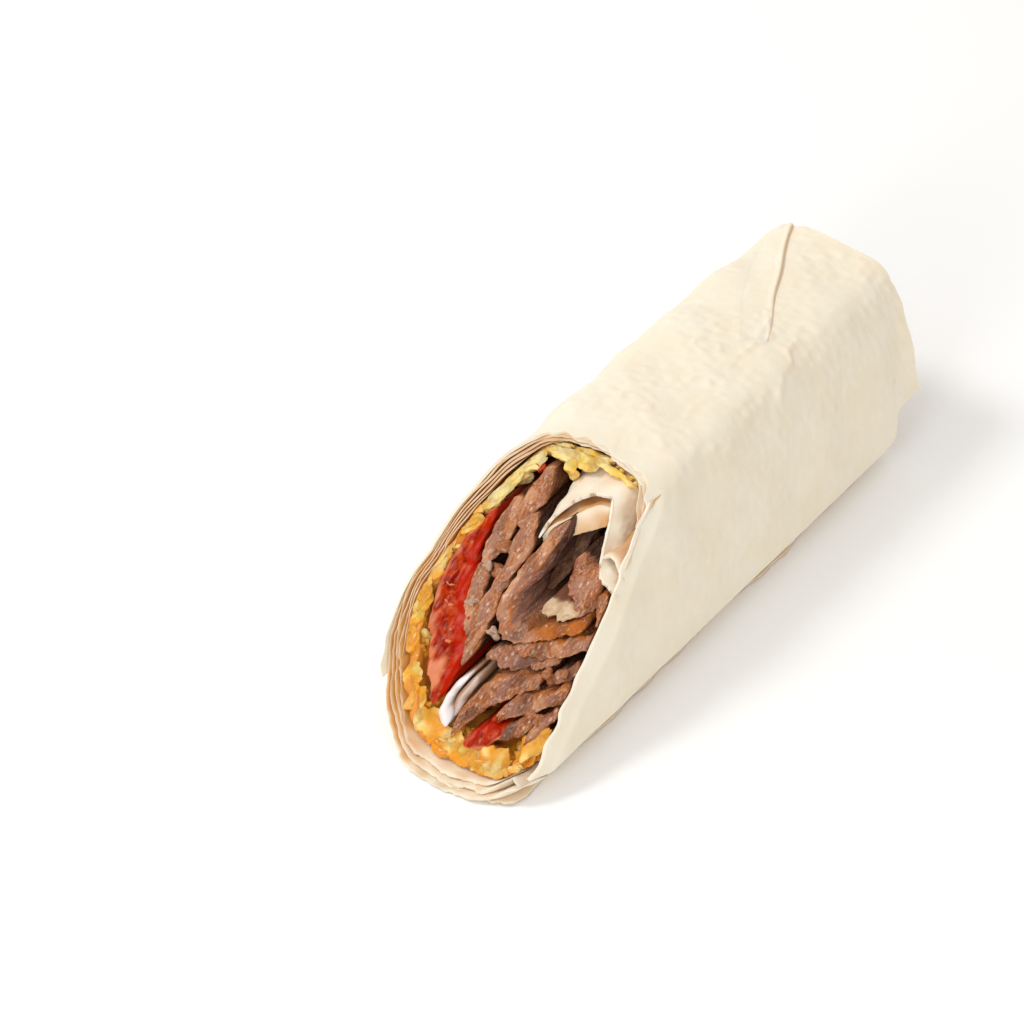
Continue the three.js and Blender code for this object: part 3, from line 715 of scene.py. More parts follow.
def crisp_piece(side, height, behind, tilt, turn, length, width, seed):
    """A broken crisp as a closed sheet: a wavy half width that tapers to both ends, bent as a saddle and
    blistered. It lies along the wall at its place, tipped towards the cut by tilt and turned in its plane.
    Returns its rings, how toasted they are and how much sauce they have taken up."""
    index = ((SPACE - [side, height]) ** 2).sum(-1).argmin()
    into = np.array([0, *SPACE_INWARD[index]])
    back = np.array([1.0, 0, 0])
    round_ = np.cross(back, into)
    tilt, turn = np.radians(tilt), np.radians(turn)
    normal = into * np.cos(tilt) - back * np.sin(tilt)
    across = np.cross(round_, normal)
    long_way = round_ * np.cos(turn) + across * np.sin(turn)
    short_way = np.cross(normal, long_way)
    v = np.linspace(-1, 1, 34)[:, None]
    u = np.linspace(-1, 1, 18)[None, :]
    taper = np.sqrt(np.clip(1 - np.abs(v) ** 3, 0.01, 1))
    edges = [1 + 0.15 * waves([v * length / 2], 4.5, seed + i)
             + 0.05 * waves([v * length / 2], 1.4, seed + 5 + i) for i in (0, 1)]
    left, right = (taper * np.clip(edge, 0.3, 1.6) for edge in edges)
    a = width / 2 * u * np.where(u < 0, left, right)
    b = length / 2 * (v + 0.10 * waves([u * width / 2], 2.5, seed + 2) * np.abs(v))
    draw = np.random.default_rng(seed)
    bend = draw.uniform(-0.09, 0.02) * a ** 2 + draw.uniform(-0.05, 0.05) * b ** 2
    bend = bend + 0.25 * waves([a, b], 6, seed + 3)
    thin = (1 - np.abs(u) ** 6) * (1 - np.abs(v) ** 8)
    half = 0.16 + 0.3 * thin
    bubble = (0.16 * np.abs(waves([a, b], 3.4, seed + 4)) + 0.05 * waves([a, b], 1.2, seed + 6)) * thin
    faces = []
    for out in (bend + half + bubble, bend - half - 0.6 * bubble):
        points = a[..., None] * short_way + b[..., None] * long_way + out[..., None] * normal
        y, z = keep_inside(points[..., 1] + side, points[..., 2] + height, CRISP_MARGIN)
        lowest_x = cut_x(z) - 0.2 + 0.25 * waves([a, b], 5, seed + 9)
        faces.append(placed(np.maximum(points[..., 0] + cut_x(height) + behind, lowest_x), y, z))
    toast = np.clip(0.2 * (1 - thin) ** 2 + 0.1 * waves([a, b], 3, seed + 7), 0, 0.5)
    soaked = soak(side, height)
    uneven = draw.uniform(-0.5, 0.4) + 0.4 * waves([a, b], 5, seed + 8)
    soaked = np.clip(soaked + (0.15 + soaked) * uneven, 0, 0.95)
    return sheet(*faces), sheet(toast, toast), sheet(soaked, soaked)


def crisp_material():
    """Fried potato crisp: pale to deep yellow in blotches about 4 mm wide, pitted by fine blisters about 1 mm
    apart, with toasted rims, oily, and orange where sauce soaked in."""
    material, tree = new_material("fried_potato_crisp")
    place = add_node(tree, "TexCoord").outputs["Object"]
    blotch = add_node(tree, "TexNoise", {"Vector": place, "Scale": 230.0, "Detail": 5.0, "Roughness": 0.6})
    ramp = add_node(tree, "ValToRGB", {"Fac": blotch.outputs["Fac"]},
                    [(0.36, CRISP_YELLOW), (0.6, CRISP_PALE)])
    colour = ramp.outputs["Color"]
    for mark, over in (("toast", CRISP_BROWN), ("sauce", SAUCE_ORANGE)):
        share = add_node(tree, "Attribute", attribute_name=mark).outputs["Fac"]
        layer = add_node(tree, "Mix", {"Factor": share, "A": colour, "B": over}, data_type="RGBA")
        colour = layer.outputs["Result"]
    pores = add_node(tree, "TexVoronoi", {"Vector": place, "Scale": 900.0}, feature="SMOOTH_F1")
    bump = add_node(tree, "Bump", {"Height": pores.outputs["Distance"], "Strength": 0.6, "Distance": 0.0005})
    surface = add_node(tree, "BsdfPrincipled", {
        "Base Color": colour, "Roughness": 0.4, "Normal": bump.outputs[0], "Specular IOR Level": 0.2,
        "Subsurface Weight": 0.35, "Subsurface Radius": (1.0, 0.6, 0.2), "Subsurface Scale": 0.0012,
    })
    add_node(tree, "OutputMaterial", {"Surface": surface.outputs[0]})
    return material


def lining(t, x, low, high):
    """A closed sheet on the wall of the filling's space: its faces stand in from it by low and by high."""
    wall, into = on_ring(SPACE, t), on_ring(SPACE_INWARD, t)
    faces = [wall + into * (depth + 0 * x)[..., None] for depth in (low, high)]
    return sheet(*(placed(x, face[..., 0], face[..., 1]) for face in faces))


crisp = crisp_material()
t = np.linspace(*CRISP_BED, 260)
rows = np.r_[np.linspace(0, 6, 18), np.linspace(8, 100, 10)][:, None]
s = t * SPACE_LENGTH
wall_side, wall_height = on_ring(SPACE, t).T
rise = 1.3 + 0.45 * waves([rows, s], 6, 81) + 0.2 * waves([rows, s], 2.2, 82)
rise = np.clip(rise, 0.5, 2.4) * smoothstep(rows + 0.6, 0, 1.6)
front = cut_x(wall_height) + CRISP_BED_RECESS + 0.6 * waves([s], 8, 83) + 0.12 * waves([s], 2.5, 84)
toast = np.clip(0.15 + 0.2 * waves([rows, s], 4, 85), 0, 0.6)
soaked = np.clip(0.3 + soak(wall_side, wall_height) + 0.25 * waves([rows, s], 9, 86), 0, 1)
shell("crisp_bed", lining(t, np.minimum(front + rows, FILLING_END_X), 0.25, 0.25 + rise), crisp, "crisps",
      ["crisp_layer"], toast=sheet(toast, toast), sauce=sheet(soaked, soaked))

draw = np.random.default_rng(90)
pieces = [crisp_piece(*row, 2000 + 20 * number) for number, row in enumerate(TOP_CRISPS)]
for number in range(CRISP_COUNT):
    share = draw.uniform(0.01, 0.6)
    spot = on_ring(SPACE, share) + on_ring(SPACE_INWARD, share) * draw.uniform(1.0, 2.4)
    behind, tilt, turn = draw.uniform(0.6, 6), draw.uniform(5, 60), draw.uniform(-50, 50)
    length, width = draw.uniform(3.5, 8), draw.uniform(2.6, 5)
    pieces.append(crisp_piece(*spot, behind, tilt, turn, length, width, 3000 + 20 * number))
bodies, toast, soaked = zip(*pieces)
shell("crisp_pieces", bodies, crisp, "crisps", ["crisp_layer"], toast=toast, sauce=soaked)


# Tomato: one thick half slice, cut across its seed chambers, and the end of another lower down. Wet red flesh
# with soft gel and seeds between its walls, and a paler core at the foot.
# Each slice's line holds side, height and thickness along its middle, and out is how far its face stands
# before the cut. The same goes for the onion, the meat and the fat.
TOMATO_SLICES = {
    "tomato_half_slice": {
        "node": "tomato_slice", "seed": 800, "core": 1, "out": 0.1,
        "line": [[16.6, 31.2, 1.6], [16.9, 27.5, 4.3], [16.4, 23.5, 6.4], [13.8, 19.9, 7.8],
                 [10.0, 16.6, 7.8], [7.1, 13.2, 7.2], [5.2, 9.7, 3.6]],
    },
    "tomato_slice_end": {
        "node": "tomato_end", "seed": 830, "core": 0, "out": 0.5,
        "line": [[-7.4, 6.5, 2.2], [-10.4, 7.6, 3.0], [-13, 9, 1.8]],
    },
}
TOMATO_RED = "#a82602"
TOMATO_DEEP = "#840a02"
TOMATO_GEL = "#cc4c0c"
TOMATO_CORE = "#e8966c"
TOMATO_WALL = "#b41a00"
BACK_ROWS = np.array([0.7, 1.5, 2.6, 4, 6, 9, 14, 22, 36])
SLICE_DRIFT = 0.5
SLICE_MARGIN = 0.3


def strip(line, out, seed, ragged=0.1, corner=0.45, step=0.3, fronts=9, bulge=0.25):
    """A slice seen on the cut and run back along the roll. Each ring is a rounded bar: across the front,
    round a corner and back to the filling's end. Its edges wander by waves, its front bulges by 1 - edge
    squared, and its deep parts drift sideways. Returns its rings and, for each point, s along the line, w
    across it, edge from 0 to 1, and d behind the cut, and the normals of its line."""
    raw = np.asarray(line, float)
    ends = raw[[0, -1], 2] / 2
    starting, leaving = raw[1, :2] - raw[0, :2], raw[-1, :2] - raw[-2, :2]
    first = raw[0, :2] - starting * 0.8 * ends[0] / np.linalg.norm(starting)
    last = raw[-1, :2] + leaving * 0.8 * ends[1] / np.linalg.norm(leaving)
    points = np.vstack([[*first, raw[0, 2]], raw, [*last, raw[-1, 2]]])
    length = np.linalg.norm(np.diff(spline(points, 300)[:, :2], axis=0), axis=1).sum()
    s = np.linspace(0, length, max(int(length / step), 12))[:, None]
    middle = spline(points, len(s))
    rounding = [np.maximum(1 - np.clip(1 - go / (1.3 * end), 0, 1) ** 2, 0.02)
                for go, end in zip((s, length - s), ends)]
    half = middle[:, 2:] / 2 * np.sqrt(rounding[0] * rounding[1])
    tangent = np.gradient(middle[:, :2], axis=0)
    tangent /= np.linalg.norm(tangent, axis=1, keepdims=True)
    normal = np.stack([-tangent[:, 1], tangent[:, 0]], -1)
    across = np.linspace(0.05, 1, fronts)
    turn = np.linspace(0, np.pi / 2, 5)[1:]
    sides = []
    for sign in (1, -1):
        wander = waves([s], 5.5, seed + sign) + 0.5 * waves([s], 1.9, seed + 3 + sign)
        wander += 0.25 * waves([s], 0.9, seed + 20 + sign)
        reach = np.maximum(half + ragged * np.minimum(2 * half, 1.5) * wander, 0.03)
        r = np.minimum(corner * (1 + 0.35 * waves([s], 4, seed + 6 + sign)), 0.75 * reach)
        w = np.hstack([across * (reach - r), reach - r + r * np.sin(turn), reach + 0 * BACK_ROWS, reach])
        d = np.hstack([0 * across * r, r * (1 - np.cos(turn)), r + BACK_ROWS, r * 0 - 1])
        sides.append((sign * w, d, np.abs(w) / reach))
    w, d, edge = (np.concatenate([a[:, ::-1], b], axis=1) for a, b in zip(*sides))
    y = middle[:, :1] + normal[:, :1] * w
    z = middle[:, 1:2] + normal[:, 1:2] * w
    front = cut_x(z, out) - bulge * (1 - edge ** 2) * np.minimum(half, 1.5) / 1.5
    d = np.where(d < 0, FILLING_END_X - front, d)
    drift = SLICE_DRIFT * smoothstep(d, 1, 16)
    y = y + drift * waves([d / 2, s], 14, seed + 8)
    z = z + drift * waves([d / 2, s], 14, seed + 9)
    return placed(front + d, *keep_inside(y, z, SLICE_MARGIN)), s + 0 * w, w, edge, d, normal


def press_out(rings, w, d, normal, relief, side_relief):
    """Moves a strip's front towards -X by its relief, and its sides outwards by theirs."""
    face = 1 - smoothstep(d, 0.2, 1.2)
    side = smoothstep(d, 0.1, 1.0) * np.sign(w) * side_relief
    rings[..., 0] -= relief * face
    rings[..., 1:] += normal[:, None] * side[..., None]
    return rings


def tomato_material():
    """Ripe tomato flesh: red and translucent, darker in its gel in patches 2 to 3 mm wide, with a film of
    juice that shines."""
    material, tree = new_material("ripe_tomato_flesh_wet")
    place = add_node(tree, "TexCoord").outputs["Object"]
    cells = add_node(tree, "TexNoise", {
        "Vector": place, "Scale": 380.0, "Detail": 4.0, "Roughness": 0.6, "Distortion": 0.8,
    })
    ramp = add_node(tree, "ValToRGB", {"Fac": cells.outputs["Fac"]},
                    [(0.38, TOMATO_DEEP), (0.52, TOMATO_RED), (0.72, TOMATO_GEL)])
    colour = ramp.outputs["Color"]
    for mark, over in (("clear", TOMATO_WALL), ("core", TOMATO_CORE)):
        share = add_node(tree, "Attribute", attribute_name=mark).outputs["Fac"]
        layer = add_node(tree, "Mix", {"Factor": share, "A": colour, "B": over}, data_type="RGBA")
        colour = layer.outputs["Result"]
    fine = add_node(tree, "TexNoise", {"Vector": place, "Scale": 1300.0, "Detail": 2.0})
    bump = add_node(tree, "Bump", {"Height": fine.outputs["Fac"], "Strength": 0.3, "Distance": 0.0003})
    surface = add_node(tree, "BsdfPrincipled", {
        "Base Color": colour, "Roughness": 0.2, "Normal": bump.outputs[0], "Specular IOR Level": 0.05,
        "Subsurface Weight": 0.15, "Subsurface Radius": (1.0, 0.15, 0.05), "Subsurface Scale": 0.001,
    })
    add_node(tree, "OutputMaterial", {"Surface": surface.outputs[0]})
    return material


tomato = tomato_material()
for name, piece in TOMATO_SLICES.items():
    seed = piece["seed"]
    shape = strip(piece["line"], piece["out"], seed, ragged=0.07, corner=0.7, step=0.25, fronts=15)
    rings, s, w, edge, d, normal = shape
    relief = 0.16 * waves([s, w], 4.2, seed + 10)
    relief += 0.08 * waves([s, w], 1.3, seed + 11) * smoothstep(w, -1.2, 0)
    groove = 0.5 * np.exp(-((w + 0.6) / 0.9) ** 2)
    relief -= groove * smoothstep(waves([s, w / 2], 7, seed + 12), -0.4, 0.6)
    rings = press_out(rings, w, d, normal, relief, 0.12 * waves([s, d], 4, seed + 13))
    share = s / s.max()
    core = smoothstep(share, 0.72, 0.80) * (1 - smoothstep(share, 0.86, 0.95))
    core = core * smoothstep(w, -0.6, 1.2) * piece["core"]
    veins = 0.4 * smoothstep(waves([s, w], 1.1, seed + 15), 1.0, 2.2) * smoothstep(w, -1.2, 0)
    flesh = 0.5 * smoothstep(edge + 0.12 * waves([s, w], 3, seed + 16), 0.5, 0.9) * (w > 0)
    core = np.clip(core + veins + flesh + 0.08 * waves([s, w], 2, seed + 14), 0, 0.75)
    clear = 0.9 * (1 - smoothstep(w + 0.5 * waves([s, w], 4, seed + 18), -1.4, -0.2))
    shell(name, rings, tomato, "tomato", [piece["node"]], core=core, clear=clear)


# Onion: a bent piece of one raw ring, white, crisp and wet, and a softer, clearer layer inside it. Both were
# sliced across the bulb, so fine lines run along them.
ONION_PIECES = {
    "onion_ring_piece": {
        "node": "onion_ring", "seed": 860, "clear": 0.0, "out": 0.9,
        "line": [[0.5, 13.2, 0.8], [1.6, 11.7, 1.5], [2.0, 10, 1.8], [1.3, 8.4, 1.8], [-0.7, 7.3, 1.5]],
    },
    "onion_sliver_piece": {
        "node": "onion_sliver", "seed": 880, "clear": 0.9, "out": 0.1,
        "line": [[-1.4, 13.2, 1.2], [-1.1, 11.9, 2.1], [-0.7, 10.2, 2.4], [-1.3, 8.7, 1.3]],
    },
}
ONION_WHITE = "#f1ebea"
ONION_SHADE = "#e2d6d2"
ONION_CLEAR_AND_SHADE = "#ad866a"


def onion_material():
    """Raw onion: white, faintly lilac, translucent, with fine lines along the ring, 0.4 mm apart, and a wet
    skin. Its clear colour, a light brown, also paints shade on its sides behind the cut."""
    material, tree = new_material("raw_onion_wet")
    grain = add_node(tree, "Attribute", attribute_name="grain").outputs["Vector"]
    stretch = add_node(tree, "Mapping", {"Vector": grain, "Scale": (200.0, 2400.0, 200.0)})
    lines = add_node(tree, "TexNoise", {"Vector": stretch.outputs[0], "Scale": 1.0, "Detail": 2.0})
    clear = add_node(tree, "Attribute", attribute_name="clear").outputs["Fac"]
    colour = ONION_SHADE
    for share, over in ((lines.outputs["Fac"], ONION_WHITE), (clear, ONION_CLEAR_AND_SHADE)):
        layer = add_node(tree, "Mix", {"Factor": share, "A": colour, "B": over}, data_type="RGBA")
        colour = layer.outputs["Result"]
    surface = add_node(tree, "BsdfPrincipled", {
        "Base Color": colour, "Roughness": 0.25, "Specular IOR Level": 0.45,
        "Subsurface Weight": 0.4, "Subsurface Radius": (1.0, 0.9, 0.8), "Subsurface Scale": 0.001,
    })
    add_node(tree, "OutputMaterial", {"Surface": surface.outputs[0]})
    return material


onion = onion_material()
for name, piece in ONION_PIECES.items():
    seed = piece["seed"]
    shape = strip(piece["line"], piece["out"], seed, ragged=0.05, corner=0.8, step=0.22, bulge=0.4)
    rings, s, w, _, d, normal = shape
    relief = 0.03 * waves([s, w], 4, seed + 10)
    rings = press_out(rings, w, d, normal, relief, 0.03 * waves([s, d], 4, seed + 13))
    # clear is the piece's own clearness, and it rises to full behind the cut as painted shade on its sides.
    clear = np.clip(piece["clear"] + 0.2 * waves([s, w], 3, seed + 14), 0, 1) + smoothstep(d, 0.6, 3)
    shell(name, rings, onion, "onion", [piece["node"]], grain=np.stack([s, w, d], -1) / 1000,
          clear=np.clip(clear, 0, 1))


# Sliced meat: thin slices shaved off a roast, folded and pressed together. Their cut faces are brownish and
# finely grained, and the outer sides that met the fire are an orange-brown crust. The first slice is folded.
FOLD_SLOPE = 2.0
MEAT_BROWN = "#a96137"
MEAT_DARK = "#6e3219"
MEAT_PALE = "#dfa87c"
MEAT_GREY = "#9b7064"
MEAT_PAINTED_SHADE = "#1d0700"
MEAT_FAT_AND_GLINT = "#f0d6c0"
CRUST_ORANGE = "#d87c20"
CRUST_DARK = "#8c4010"
# rim and side are how much crust lies on the rims and the sides, on the one side and the other. grey is how
# much grey lean shows, pale_and_lit how much of its pale patches and painted light show, rough how lumpy
# the face is and shade the least painted shade that lies over it.
# browned is two shares of the length between which crust spreads over the face, and how much. fold is how
# far across the ridge of the fold lies, the share of the length where it ends, and how crusted the ridge is.
MEAT_SLICES = [
    {"out": 1.5, "rim": (0.2, 0.9), "side": (0.2, 0.7), "grey": 0.6, "browned": (0.64, 0.74, 1.0),
     "fold": (0.4, 0.52, 1),
     "line": [[-1.2, 34.2, 3.0], [-0.4, 30.5, 4.4], [0.9, 26.6, 4.6], [1, 23.2, 3.8], [-1.6, 20.9, 2.8],
              [-5.6, 20.6, 2.0], [-10.5, 22.1, 1.9], [-17.2, 24.8, 1.8]]},
    {"out": 0.3, "rim": (0.1, 0.2), "side": (0.1, 0.1), "grey": 0.5, "rough": 2.4, "pale_and_lit": 0.35,
     "line": [[-8.2, 30.8, 2.6], [-10.3, 29.7, 4.5], [-12.8, 28.5, 5.0], [-15.6, 27.2, 4.2]]},
    {"out": 1, "rim": (0.9, 0.7), "side": (0.3, 0.2), "grey": 0.15,
     "line": [[5.8, 25.8, 2.8], [5.6, 23, 3.9], [4.6, 19.5, 3.7], [3.4, 15.0, 2.1]]},
    {"out": 1.5, "rim": (0.5, 1.0), "side": (0.3, 0.4), "grey": 0.15,
     "line": [[-3.5, 7.5, 1.9], [-4.6, 10.8, 3.9], [-7.2, 13.4, 4.0], [-11, 15.2, 3.1], [-14.8, 16.6, 1.7]]},
    {"out": 0.5, "rim": (0.5, 1.0), "side": (0.2, 0.5), "grey": 0.25, "pale_and_lit": 0.6,
     "line": [[-5.6, 18.6, 1.3], [-11.5, 19.8, 2.4], [-17, 21.6, 2.4], [-21.4, 23.4, 1.9]]},
    {"out": -0.5, "rim": (0, 0.1), "side": (0, 0), "grey": 0.85, "pale_and_lit": 0.5,
     "line": [[-0.8, 16, 1.8], [-5.5, 17, 2.9], [-11, 17.8, 2.0], [-16, 19.2, 1.3]]},
    {"out": 0.8, "rim": (0.4, 1.0), "side": (0.2, 0.5), "grey": 0.2,
     "line": [[-11, 11.2, 2.2], [-13.6, 12.9, 3.1], [-17.4, 14.4, 2.7], [-22, 16.4, 2]]},
    {"out": 0, "rim": (0.3, 0.3), "side": (0.2, 0.2), "grey": 0.1,
     "line": [[-13.6, 8.6, 1.6], [-16.2, 10.3, 2.7], [-18.2, 11.4, 1.8]]},
    {"out": 0, "rim": (0.3, 0.5), "side": (0.2, 0.4), "grey": 0.1,
     "line": [[-19.6, 9.6, 1.8], [-20.6, 11.8, 2.5], [-22, 13.6, 2]]},
    {"out": 1.0, "rim": (0.6, 0.5), "side": (0.25, 0.3), "grey": 0.25,
     "line": [[9.5, 38.9, 2.8], [9.1, 37.2, 4.7], [9.1, 35.0, 4.7], [8.7, 32.8, 2.6]]},
    {"out": 1.2, "rim": (0.6, 0.4), "side": (0.3, 0.1), "grey": 0.75,
     "line": [[7.2, 33.0, 2.8], [5.8, 30, 5.0], [5.2, 26.4, 2.8]]},
    {"out": 0.8, "rim": (0.4, 0.4), "side": (0.1, 0.1), "grey": 0.5,
     "line": [[12.6, 33.9, 2.8], [11.8, 31, 5.1], [11.6, 27.8, 4.3]]},
    {"out": 0.3, "rim": (0.2, 0.2), "side": (0.1, 0.1), "grey": 0.35,
     "line": [[11.6, 25, 2.8], [10.2, 22.6, 3.3], [8.6, 20.4, 3.0], [6.6, 18.0, 2.0]]},
    {"out": 0, "rim": (0.9, 0.9), "side": (0.5, 0.5), "grey": 0,
     "line": [[-17.2, 28, 2.0], [-20, 25.8, 2.4]]},
    {"out": -6, "rim": (0.3, 0.6), "side": (0.5, 0.3), "grey": 0.2, "shade": 0.8,
     "line": [[-5.2, 33.6, 2.8], [-4.6, 29.5, 3.6], [-3.6, 25.3, 3.2]]},
    {"out": -1, "rim": (0.2, 0.2), "side": (0.1, 0.1), "grey": 0.3,
     "line": [[-17.2, 17.1, 1.8], [-20.6, 18.5, 2.0]]},
]


def meat_material():
    """Roast meat sliced thin: its grain, 0.7 mm wide, in browns and greys, pale flecks 1 mm wide that are
    partly light fat and partly painted wet glints, a moist sheen in patches, an orange-brown roasted crust,
    pale painted light and near-black painted shade."""
    material, tree = new_material("roast_meat_sliced")
    grain = add_node(tree, "Attribute", attribute_name="grain").outputs["Vector"]
    grey, roasted, light, deep = (add_node(tree, "Attribute", attribute_name=mark).outputs["Fac"]
                                  for mark in ("grey", "crust", "light", "deep"))
    fibre = add_node(tree, "TexNoise", {"Vector": grain, "Scale": 1500.0, "Detail": 4.0, "Roughness": 0.65})
    ramp = add_node(tree, "ValToRGB", {"Fac": fibre.outputs["Fac"]},
                    [(0.32, MEAT_DARK), (0.5, MEAT_BROWN), (0.72, MEAT_PALE)])
    soft = add_node(tree, "Math", {0: grey, 1: 0.65}, operation="MULTIPLY")
    blotch = add_node(tree, "TexNoise", {"Vector": grain, "Scale": 520.0, "Detail": 3.0})
    crust = add_node(tree, "Mix", {"Factor": blotch.outputs["Fac"], "A": CRUST_DARK, "B": CRUST_ORANGE},
                     data_type="RGBA")
    # Pale flecks: partly light fat, partly painted wet glints.
    spots = add_node(tree, "TexNoise", {"Vector": grain, "Scale": 1100.0, "Detail": 2.0, "Distortion": 1.0})
    fleck = add_node(tree, "MapRange", {"Value": spots.outputs["Fac"], 1: 0.6, 2: 0.72, 3: 0.0, 4: 0.6})
    colour = ramp.outputs["Color"]
    # light mixes in painted light in the pale colour, and deep mixes in near-black painted shade.
    for share, over in (
        (soft.outputs[0], MEAT_GREY), (roasted, crust.outputs["Result"]), (light, MEAT_PALE),
        (fleck.outputs["Result"], MEAT_FAT_AND_GLINT), (deep, MEAT_PAINTED_SHADE),
    ):
        layer = add_node(tree, "Mix", {"Factor": share, "A": colour, "B": over}, data_type="RGBA")
        colour = layer.outputs["Result"]
    fine = add_node(tree, "TexNoise", {"Vector": grain, "Scale": 1700.0, "Detail": 4.0, "Roughness": 0.6})
    bump = add_node(tree, "Bump", {"Height": fine.outputs["Fac"], "Strength": 0.8, "Distance": 0.0006})
    wet = add_node(tree, "MapRange", {"Value": blotch.outputs["Fac"], 1: 0.4, 2: 0.6, 3: 0.14, 4: 0.42})
    surface = add_node(tree, "BsdfPrincipled", {
        "Base Color": colour, "Roughness": wet.outputs["Result"], "Normal": bump.outputs[0],
        "Specular IOR Level": 0.24, "Subsurface Weight": 0.08, "Subsurface Radius": (1.0, 0.4, 0.25),
        "Subsurface Scale": 0.0008,
    })
    add_node(tree, "OutputMaterial", {"Surface": surface.outputs[0]})
    return material


meat = meat_material()
for number, piece in enumerate(MEAT_SLICES):
    seed = 900 + 20 * number
    rings, s, w, edge, d, normal = strip(piece["line"], piece["out"], seed)
    share = s / s.max()
    relief = 0.14 * waves([s, w], 4.5, seed + 10) + 0.08 * waves([s, w], 1.7, seed + 11)
    relief = (relief + 0.05 * waves([s, w], 0.8, seed + 12)) * piece.get("rough", 1.2)
    ridge_at, fold_end, ridge_crust = piece.get("fold", (1, 0, 0))
    q = -edge * np.sign(w)
    in_fold = 1 - smoothstep(share, fold_end, fold_end + 0.14)
    relief -= FOLD_SLOPE * smoothstep(q, ridge_at, 1.1) * in_fold
    side_relief = 0.16 * waves([s, d], 4, seed + 13) + 0.06 * waves([s, d], 1.5, seed + 14)
    rings = press_out(rings, w, d, normal, relief, side_relief)

    wall = smoothstep(q, ridge_at, ridge_at + 0.15) * in_fold
    ridge = np.exp(-((q - ridge_at + 0.04 * waves([s, w], 6, seed + 23)) / 0.2) ** 2) * in_fold
    ridge = ridge * np.clip(0.5 + 0.35 * waves([s, w], 3, seed + 24), 0, 1) * smoothstep(share, 0.02, 0.1)
    rim = np.where(w > 0, *piece["rim"]) * smoothstep(edge + 0.1 * waves([s, w], 2.5, seed + 15), 0.84, 1.0)
    side = np.where(w > 0, *piece["side"]) * smoothstep(d, 0.2, 1.2)
    start, end, amount = piece.get("browned", (1.1, 1.2, 0))
    face = amount * smoothstep(share, start, end) + 0.14 * waves([s, w], 4, seed + 18)
    crust = np.clip(np.maximum(np.maximum(rim, face) * (1 - smoothstep(d, 0.3, 1.5)), side), 0, 1)
    crust = np.maximum(crust * (1 - wall), ridge_crust * ridge)
    grey = piece["grey"] + 0.5 * waves([s, w], 4.5, seed + 16) + 0.15 * waves([s, w], 1.5, seed + 17)
    grey = np.clip(grey, 0, 0.95) * (1 - 0.7 * smoothstep(edge, 0.6, 0.9))
    grey = np.maximum(grey * (1 - ridge), 0.95 * wall)
    low = 1 - smoothstep(rings[..., 2], 14, 24)
    tone = waves([s, 1.5 * w], 6.5, seed + 19)
    # Painted shade inside the fold: darker near the start of the slice and deeper behind the cut.
    inside = 0.12 + 0.5 * (1 - smoothstep(share, 0.08, 0.3)) + 0.35 * smoothstep(d, 2, 9)
    inside = np.clip(inside + 0.12 * waves([s, d], 3, seed + 22), 0, 0.95)
    # Painted shade: near black on the sides behind the cut, less where crusted, at least shade, then the
    # fold's inside, and more on the lower slices and where the tone waves are low.
    deep = smoothstep(d, 0.2, 2.0) * np.clip(0.97 - 0.7 * side, 0, 1)
    deep = np.maximum(piece.get("shade", 0), deep) * (1 - wall) + inside * wall
    deep = np.maximum(deep, 0.12 * low + (0.3 + 0.15 * low) * smoothstep(-tone, 0.1, 1.5))
    # Painted light on the face only: the upper slices lighter, painted highlights along the rims, and pale
    # patches where the tone waves are high; pale_and_lit scales it.
    rim_highlight = np.exp(-((edge - 0.82) / 0.1) ** 2) * smoothstep(waves([s, w], 5, seed + 21), -0.2, 1.2)
    light = 0.12 * (1 - low) + 0.5 * smoothstep(tone, 0.3, 1.6) + 0.5 * rim_highlight
    light = light * piece.get("pale_and_lit", 1) * (1 - crust) * (1 - wall) * (1 - smoothstep(d, 0.3, 1))
    fold_light = 0.4 * smoothstep(share, 0.3, 0.5) * smoothstep(waves([s, w], 2.5, seed + 25), -0.5, 1.2)
    light = light + wall * fold_light
    node = f"meat_slice_{number + 1:02d}"
    shell("roast_" + node, rings, meat, "meat", [node], crust=crust, deep=deep, grey=grey, light=light,
          grain=np.stack([s, w, d], -1) / 1000)


# Fat: a pale, soft lump of fat and sinew from between two muscles, that lies loose in the fold of the large
# slice.
FAT_STRIP = [[-7.0, 24.8, 1.5], [-9.4, 24.8, 2.1], [-12.4, 25.1, 1.9], [-14.6, 25.5, 1.0]]
FAT_OUT = 0.7
FAT_PALE = "#dcbd96"
FAT_SHADE = "#ab8862"


def fat_material():
    """Cooked fat and sinew: pale, greyish in blotches 2 mm wide, soft and moist, with dark brown painted
    shade on its sides behind the cut.
    """
    material, tree = new_material("cooked_fat_moist")
    grain = add_node(tree, "Attribute", attribute_name="grain").outputs["Vector"]
    blotch = add_node(tree, "TexNoise", {"Vector": grain, "Scale": 500.0, "Detail": 4.0})
    deep = add_node(tree, "Attribute", attribute_name="deep").outputs["Fac"]
    colour = FAT_SHADE
    for share, over in ((blotch.outputs["Fac"], FAT_PALE), (deep, MEAT_DARK)):
        layer = add_node(tree, "Mix", {"Factor": share, "A": colour, "B": over}, data_type="RGBA")
        colour = layer.outputs["Result"]
    surface = add_node(tree, "BsdfPrincipled", {
        "Base Color": colour, "Roughness": 0.35, "Specular IOR Level": 0.45,
        "Subsurface Weight": 0.3, "Subsurface Radius": (1.0, 0.7, 0.5), "Subsurface Scale": 0.001,
    })
    add_node(tree, "OutputMaterial", {"Surface": surface.outputs[0]})
    return material


fat = fat_material()
rings, s, w, _, d, normal = strip(FAT_STRIP, FAT_OUT, 1300, corner=0.5)
relief = 0.25 * waves([s, w], 2.4, 1310) + 0.1 * waves([s, w], 1.0, 1311)
rings = press_out(rings, w, d, normal, relief, 0.1 * waves([s, d], 3, 1312))
